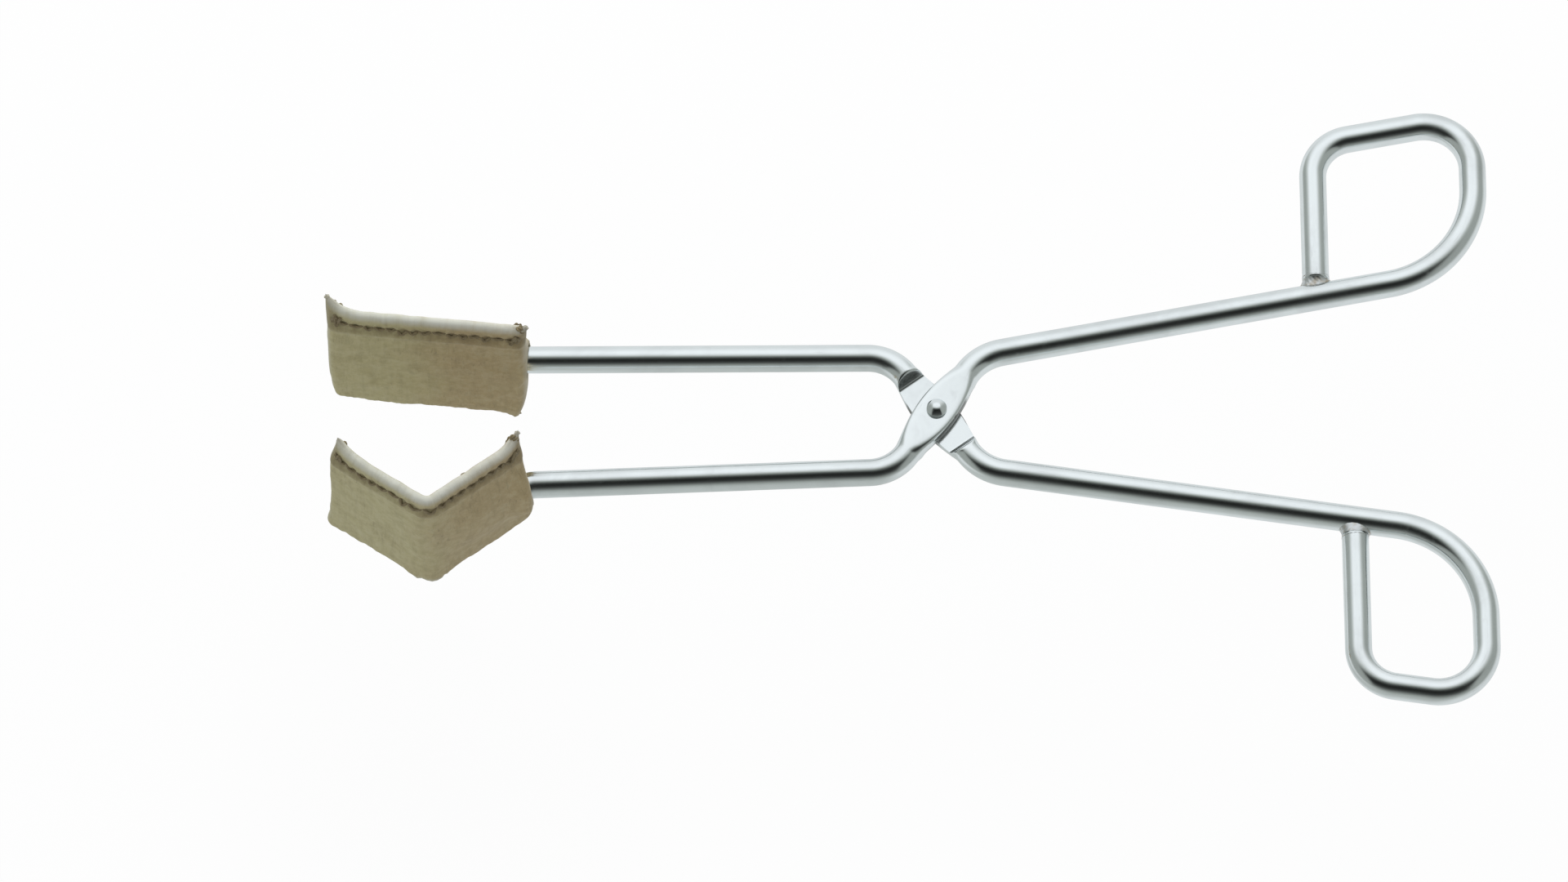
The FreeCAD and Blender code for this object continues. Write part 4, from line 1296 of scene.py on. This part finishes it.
def studio_shade(way):
    """Brightness that polished metal sees in a direction.

    Round the tongs' long axis it runs, by degrees from straight up towards the flat jaw, from the
    bright ceiling through the dark part of the room over the camera's side to the pale table. To
    the sides the walls are grey, neither as bright nor as dark.
    """
    x, y, z = way[..., 0], way[..., 1], way[..., 2]
    turn = np.degrees(np.arctan2(y, z))
    stops = [-180, -150, -125, -108, -95, -82, -68, -57, -49, -33, -19, -7, 5, 18]
    stops += [31, 46, 62, 81, 105, 140, 180]
    values = [0.56, 0.56, 0.53, 0.51, 0.45, 0.34, 0.17, 0.07, 0.035, 0.012, 0.03, 0.16, 0.52, 0.90]
    values += [1.00, 0.98, 0.88, 0.78, 0.78, 0.70, 0.56]
    round_axis = np.interp(turn, stops, values)
    aside = smooth(np.abs(x), 0.35, 0.85)
    wall = 0.36 + 0.39 * smooth(-z, -0.05, 0.25)
    low = smooth(-z, -0.02, 0.10)
    least = 0.36 * smooth(np.abs(x), 0.58, 0.74)
    darker = np.clip(round_axis, least, wall) * (1.0 - low) + wall * low
    return round_axis + (darker - round_axis) * aside


class TONGS_OT_stage(bpy.types.Operator):
    """Pale floor, the studio that the steel mirrors, soft lamps and the camera"""

    bl_idname = "tongs.stage"
    bl_label = "Stage"

    def execute(self, context):
        stage = context.scene.tongs_stage
        scene = context.scene
        floor = self.floor(stage)
        room = self.room(stage)
        self.world(scene, stage)
        self.lamp("key_lamp", (0.10, 1.05, 0.85), (0.09, 0.0, 0.0), 1.3, stage.key_power)
        self.lamp("side_lamp", (-0.95, -0.55, 0.75), (0.0, 0.0, 0.0), 1.0, stage.side_power)
        self.camera(scene, stage)
        scene.view_settings.view_transform = "Standard"
        return {"FINISHED"}

    def floor(self, stage):
        """A wide flat floor, white to the camera and to glossy rays but for the shadow on it."""
        size = 6.0
        z = -stage.floor_drop
        mesh = bpy.data.meshes.new("floor")
        corners = [(-size, -size, z), (size, -size, z), (size, size, z), (-size, size, z)]
        mesh.from_pydata(corners, [], [(0, 1, 2, 3)])
        b = Board("pale_floor")
        place = b.place()
        tone = b.mix(b.noise(place, 3.0, 2.0) * 0.1, tuple(stage.floor_tint), (0.86, 0.87, 0.87))
        plain = b.add("ShaderNodeBsdfDiffuse", None, {"Color": tone})
        white = b.add("ShaderNodeEmission", None, {"Color": (1.0, 1.0, 1.0), "Strength": 1.0})
        surface = b.add("ShaderNodeMixShader", None, {0: b.direct() * 0.94, 1: plain, 2: white})
        b.add("ShaderNodeOutputMaterial", None, {"Surface": surface})
        mesh.materials.append(b.owner)
        return put("floor", mesh)

    def room(self, stage):
        """A dome round the tongs with a flat bottom just above the floor, seen only by glossy rays."""
        rows, cols = 180, 144
        polar = np.linspace(0.02, math.pi - 0.02, rows)[:, None]
        turn = circle(cols)[None, :]
        out = np.sin(polar)
        way = np.stack([out * np.cos(turn), out * np.sin(turn), np.cos(polar) + 0.0 * turn], axis=-1)
        verts, quads, tris = skin(way)
        way = verts / np.linalg.norm(verts, axis=1, keepdims=True)
        radius, off_floor = 2.6, 0.001
        reach = np.minimum(radius, (stage.floor_drop - off_floor) / np.maximum(-way[:, 2], 1e-6))
        mesh = bpy.data.meshes.new("studio_room")
        faces = [tuple(f) for f in quads.tolist()] + [tuple(f) for f in tris.tolist()]
        mesh.from_pydata((way * reach[:, None] + np.array([0.09, 0.0, 0.0])).tolist(), [], faces)
        shade = studio_shade(way)
        mesh.attributes.new("shade", "FLOAT", "POINT").data.foreach_set("value", shade.astype(np.float32))
        b = Board("studio_cloth")
        value = b.mask("shade")
        warm = b.mix(value.ease(0.2, 0.95), (0.93, 1.0, 0.94), (0.955, 0.985, 1.0))
        glow = b.add("ShaderNodeEmission", None, {"Color": warm, "Strength": value})
        b.add("ShaderNodeOutputMaterial", None, {"Surface": glow})
        mesh.materials.append(b.owner)
        obj = put("studio_room", mesh)
        for kind in ("camera", "diffuse", "transmission", "volume_scatter", "shadow"):
            setattr(obj, "visible_" + kind, False)
        return obj

    def world(self, scene, stage):
        """Even light, and white to camera, glossy and transmission rays."""
        b = Board("studio", bpy.data.worlds)
        scene.world = b.owner
        soft = b.add("ShaderNodeBackground", None, {"Color": (0.97, 0.985, 1.0), "Strength": stage.ambient})
        white = b.add("ShaderNodeBackground", None, {"Color": (1.0, 1.0, 1.0), "Strength": 1.0})
        sky = b.add("ShaderNodeMixShader", None, {0: b.direct(), 1: soft, 2: white})
        b.add("ShaderNodeOutputWorld", None, {"Surface": sky})

    def lamp(self, name, place, target, size, power):
        """A square soft lamp that points at a target and isn't mirrored in the steel."""
        data = bpy.data.lights.new(name, "AREA")
        data.shape = "SQUARE"
        data.size = size
        data.energy = power
        obj = put(name, data)
        aim = Vector(place) - Vector(target)
        obj.matrix_world = Matrix.Translation(place) @ aim.to_track_quat("Z", "Y").to_matrix().to_4x4()
        obj.visible_glossy = False

    def camera(self, scene, stage):
        """Long lens tilted from the rivet's axis, rolled so that the handles rise."""
        tilt, turn, roll = stage.tilt, stage.turn, stage.roll
        back = Vector((math.sin(turn) * math.sin(tilt), -math.cos(turn) * math.sin(tilt), math.cos(tilt)))
        right = Vector((math.cos(turn), math.sin(turn), 0.0))
        up = back.cross(right)
        side = right * math.cos(roll) - up * math.sin(roll)
        top = up * math.cos(roll) + right * math.sin(roll)
        place = Vector((stage.aim_x, stage.aim_y, 0.0)) + back * stage.distance
        rows = [(side[i], top[i], back[i], place[i]) for i in range(3)]
        data = bpy.data.cameras.new("camera")
        data.lens = stage.lens
        data.sensor_width = 36.0
        data.clip_end = 50.0
        obj = put("camera", data)
        obj.matrix_world = Matrix(rows + [(0.0, 0.0, 0.0, 1.0)])
        scene.camera = obj


class TONGS_PT_panel(bpy.types.Panel):
    """Builds the tongs piece by piece"""

    bl_label = "Flask Tongs"
    bl_idname = "TONGS_PT_panel"
    bl_space_type = "VIEW_3D"
    bl_region_type = "UI"
    bl_category = "Tongs"

    def draw(self, context):
        column = self.layout.column(align=True)
        for operator in operators:
            column.operator(operator.bl_idname)
        for key in groups:
            box = self.layout.box()
            group = getattr(context.scene, key)
            for prop in group.bl_rna.properties:
                if prop.identifier not in ("rna_type", "name"):
                    box.prop(group, prop.identifier)


groups = {
    "tongs_rods": TongsRods,
    "tongs_rivet": TongsRivet,
    "tongs_jaws": TongsJaws,
    "tongs_thread": TongsThread,
    "tongs_finish": TongsFinish,
    "tongs_stage": TongsStage,
}
operators = (
    TONGS_OT_arms,
    TONGS_OT_rivet,
    TONGS_OT_welds,
    TONGS_OT_sewing,
    TONGS_OT_sleeves,
    TONGS_OT_plates,
    TONGS_OT_stage,
)


def register():
    """Register the classes and hang each group of values on the scene."""
    for key, group in groups.items():
        bpy.utils.register_class(group)
        setattr(bpy.types.Scene, key, PointerProperty(type=group))
    for cls in operators + (TONGS_PT_panel,):
        bpy.utils.register_class(cls)


def unregister():
    """Take away what register put in."""
    for cls in (TONGS_PT_panel,) + operators[::-1]:
        bpy.utils.unregister_class(cls)
    for key, group in groups.items():
        delattr(bpy.types.Scene, key)
        bpy.utils.unregister_class(group)


def main():
    """Build every piece and the stage."""
    register()
    bpy.ops.tongs.arms()
    bpy.ops.tongs.rivet()
    bpy.ops.tongs.welds()
    bpy.ops.tongs.sewing()
    bpy.ops.tongs.sleeves()
    bpy.ops.tongs.plates()
    bpy.ops.tongs.stage()


if __name__ == "__main__":
    main()
